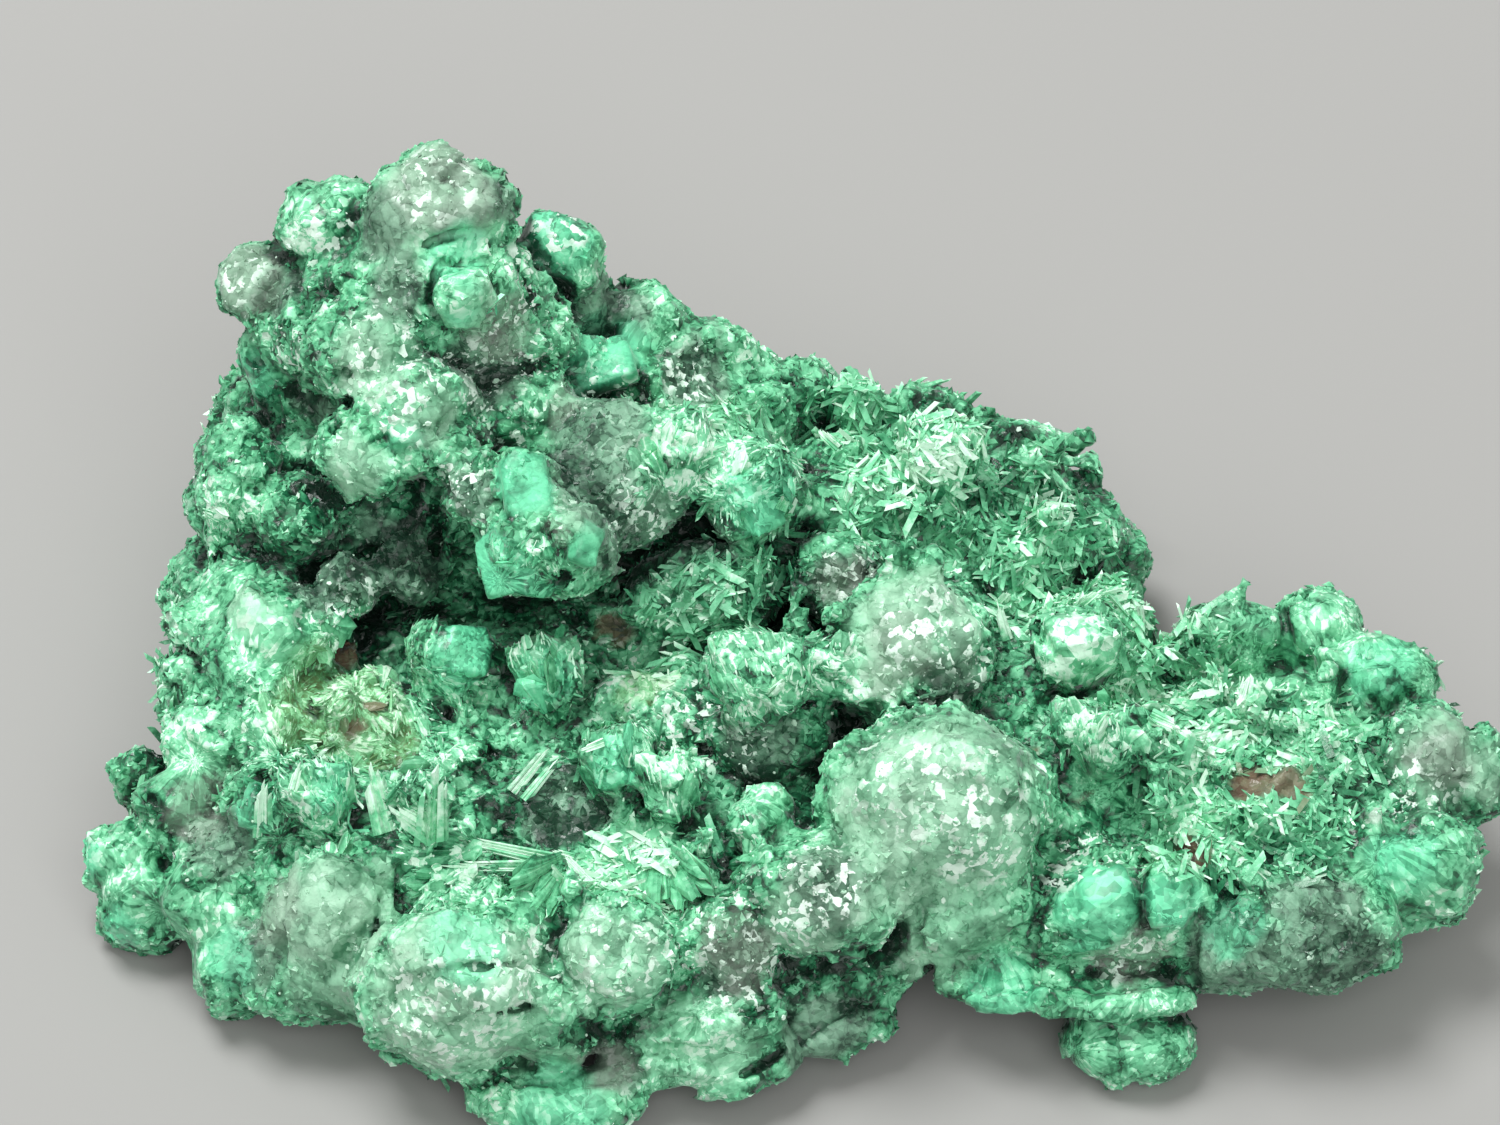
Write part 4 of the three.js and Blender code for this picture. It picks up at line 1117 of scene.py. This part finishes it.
def crust_material():
    shader = Shader("malachite crust")
    ray = shader.node("ShaderNodeAttribute", attribute_name="ray").outputs["Vector"]
    streaks = shader.mosaic(1.6, ray)
    ragged = shader.warped(2600.0, 0.0002)
    slopes, patches = shader.facets(FACETS, ragged)
    fine_slopes, chips = shader.facets(CHIPS, ragged)
    fine = shader.noise(3600.0)
    rough = shader.times(
        shader.by("silky", 0.0, 1.0, 1.0, 0.5),
        shader.by("frosted", 0.0, 1.0, 1.0, 0.7),
        shader.by("cleaved", 0.2, 0.9, 1.0, 0.25),
    )
    streaked = shader.total(
        0.15,
        shader.share("fibrous"),
        shader.times(shader.share("cleaved"), 0.2),
        shader.times(shader.share("silky"), 0.7),
    )
    grains = shader.total(
        shader.ranged(patches, 0.0, 1.0, -0.16, 0.16),
        shader.ranged(chips, 0.0, 1.0, -0.2, 0.2),
        shader.ranged(shader.gaps(FACETS, ragged, 0.12), 0.0, 1.0, -0.16, 0.02),
        shader.ranged(fine, 0.3, 0.7, -0.1, 0.1),
    )
    # Dark spots painted as the shade of small pits, which have no relief.
    pit_shade = shader.ranged(shader.noise(1300.0, 3.0), 0.58, 0.68, 0.0, -0.45)
    level = shader.total(
        0.52,
        shader.times(pit_shade, rough, shader.by("frosted", 0.0, 1.0, 1.0, 0.25)),
        shader.times(shader.ranged(streaks, 0.0, 1.0, -0.24, 0.24), streaked),
        shader.times(grains, rough),
        shader.times(shader.share("needles"), 0.04),
        # painted shade and light by place
        place_level(shader),
    )
    colour = zone_colours(shader, level)
    # Painted shade: creases and sheltered hollows darkened towards the crease colour, less in the bright
    # zone.
    colour = shader.mix(shader.by("open", 0.05, 0.45, 0.85, 0.0), colour, COLOURS["crease"])
    hollow = shader.times(shader.by("deep", 0.03, 0.3, 0.8, 0.0), shader.by("bright", 0.0, 1.0, 1.0, 0.3))
    colour = shader.mix(hollow, colour, COLOURS["crease"])
    # Painted glints: near-white spots in clusters in the glint zone, none on needle beds.
    glint_clusters = shader.times(shader.ranged(shader.noise(700.0, 1.0), 0.4, 0.5), shader.share("painted_glints"))
    broken = shader.total(chips, shader.ranged(shader.noise(2600.0, 3.0), 0.3, 0.7, -0.45, 0.35))
    spots = shader.ranged(broken, 0.62, 0.74)
    spots = shader.times(spots, glint_clusters, shader.by("needles", 0.0, 0.5, 1.0, 0.0), 0.9)
    colour = shader.mix(spots, colour, COLOURS["glint_white"])
    height = shader.times(shader.total(slopes, fine_slopes, shader.times(fine, 0.00006)), rough)
    finish(shader, colour, height, shader.ranged(patches, 0.0, 1.0, 0.28, 0.6), 1.0)
    return shader.material


def fibre_material(name, root_level, tip_level, spread):
    """What grows on the crust, from its roots to its tips, and how much its pieces differ."""
    shader = Shader(name)
    tone = shader.share("tone")
    fine = shader.noise(3200.0)
    level = shader.total(
        shader.by("tip", 0.1, 1.0, root_level, tip_level),
        shader.ranged(tone, 0.0, 1.0, -spread, spread),
        # A few of the palest pieces made paler still, as painted glints.
        shader.ranged(tone, 0.88, 1.0, 0.0, 0.2),
        shader.ranged(fine, 0.3, 0.7, -0.08, 0.08),
        # painted shade and light by place, as on the crust
        place_level(shader),
    )
    finish(shader, zone_colours(shader, level), fine, shader.ranged(fine, 0.3, 0.7, 0.22, 0.42), 0.0001)
    return shader.material


def glint_facet_material():
    shader = Shader("malachite glint facets")
    # Painted glints: from frost to near-white by tone.
    colour = shader.mix(shader.share("tone"), COLOURS["frost"], COLOURS["glint_white"])
    shader.put(shader.surface.inputs["Base Color"], colour)
    shader.surface.inputs["Roughness"].default_value = 0.22
    return shader.material


def lay_floor():
    bpy.ops.mesh.primitive_plane_add(size=1.2)
    floor = bpy.context.object
    floor.name = "floor"
    shader = Shader("pale floor")
    shader.surface.inputs["Base Color"].default_value = srgb(150, 150, 148)
    shader.surface.inputs["Roughness"].default_value = 0.8
    floor.data.materials.append(shader.material)


def add_light(name, place, size, power):
    """A square lamp that faces the middle of the floor."""
    lamp = bpy.data.lights.new(name, "AREA")
    lamp.size = size
    lamp.energy = power
    thing = bpy.data.objects.new(name, lamp)
    thing.location = place
    thing.rotation_euler = (-Vector(place)).to_track_quat("-Z", "Y").to_euler()
    bpy.context.scene.collection.objects.link(thing)


def light():
    world = bpy.data.worlds.new("soft room")
    world.use_nodes = True
    background = world.node_tree.nodes["Background"].inputs
    background["Color"].default_value = (1.0, 0.99, 0.97, 1.0)
    background["Strength"].default_value = 0.54
    bpy.context.scene.world = world
    add_light("window", place=(-0.14, 0.13, 0.42), size=0.22, power=2.25)
    add_light("room", place=(0.1, -0.34, 0.36), size=0.4, power=1.15)
    bpy.context.scene.view_settings.view_transform = "Standard"


def set_camera():
    camera = bpy.data.cameras.new("camera")
    camera.sensor_width = 36.0
    camera.lens = FOCAL_LENGTH / PHOTO_WIDTH * camera.sensor_width
    camera.clip_start = 0.01
    thing = bpy.data.objects.new("camera", camera)
    thing.location = Vector(EYE) * MM
    thing.rotation_euler = (math.pi / 2 - VIEW_ELEVATION, 0.0, 0.0)
    bpy.context.scene.collection.objects.link(thing)
    bpy.context.scene.camera = thing


def main():
    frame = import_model()
    crust = Crust(frame["nodes"]["malachite"])
    make_crust(crust, crust_material())
    finder = Finder(crust.corners, crust.quads)
    fibres = fibre_material("malachite fibres", root_level=0.36, tip_level=0.6, spread=0.2)
    needles = fibre_material("malachite needles", root_level=0.49, tip_level=0.73, spread=0.13)
    for number in range(2):
        grow_fibres(f"fibres_{number}", crust, 70 + number, fibres)
    for number in range(2):
        grow_wedges(f"wedges_{number}", crust, 80 + number, fibres)
    grow_fans(crust.growth, fibres)
    grow_blades(finder, needles)
    grow_needles(crust, needles)
    grow_velvet(crust, fibres)
    grow_glint_facets(crust, glint_facet_material())
    lay_floor()
    light()
    set_camera()


main()
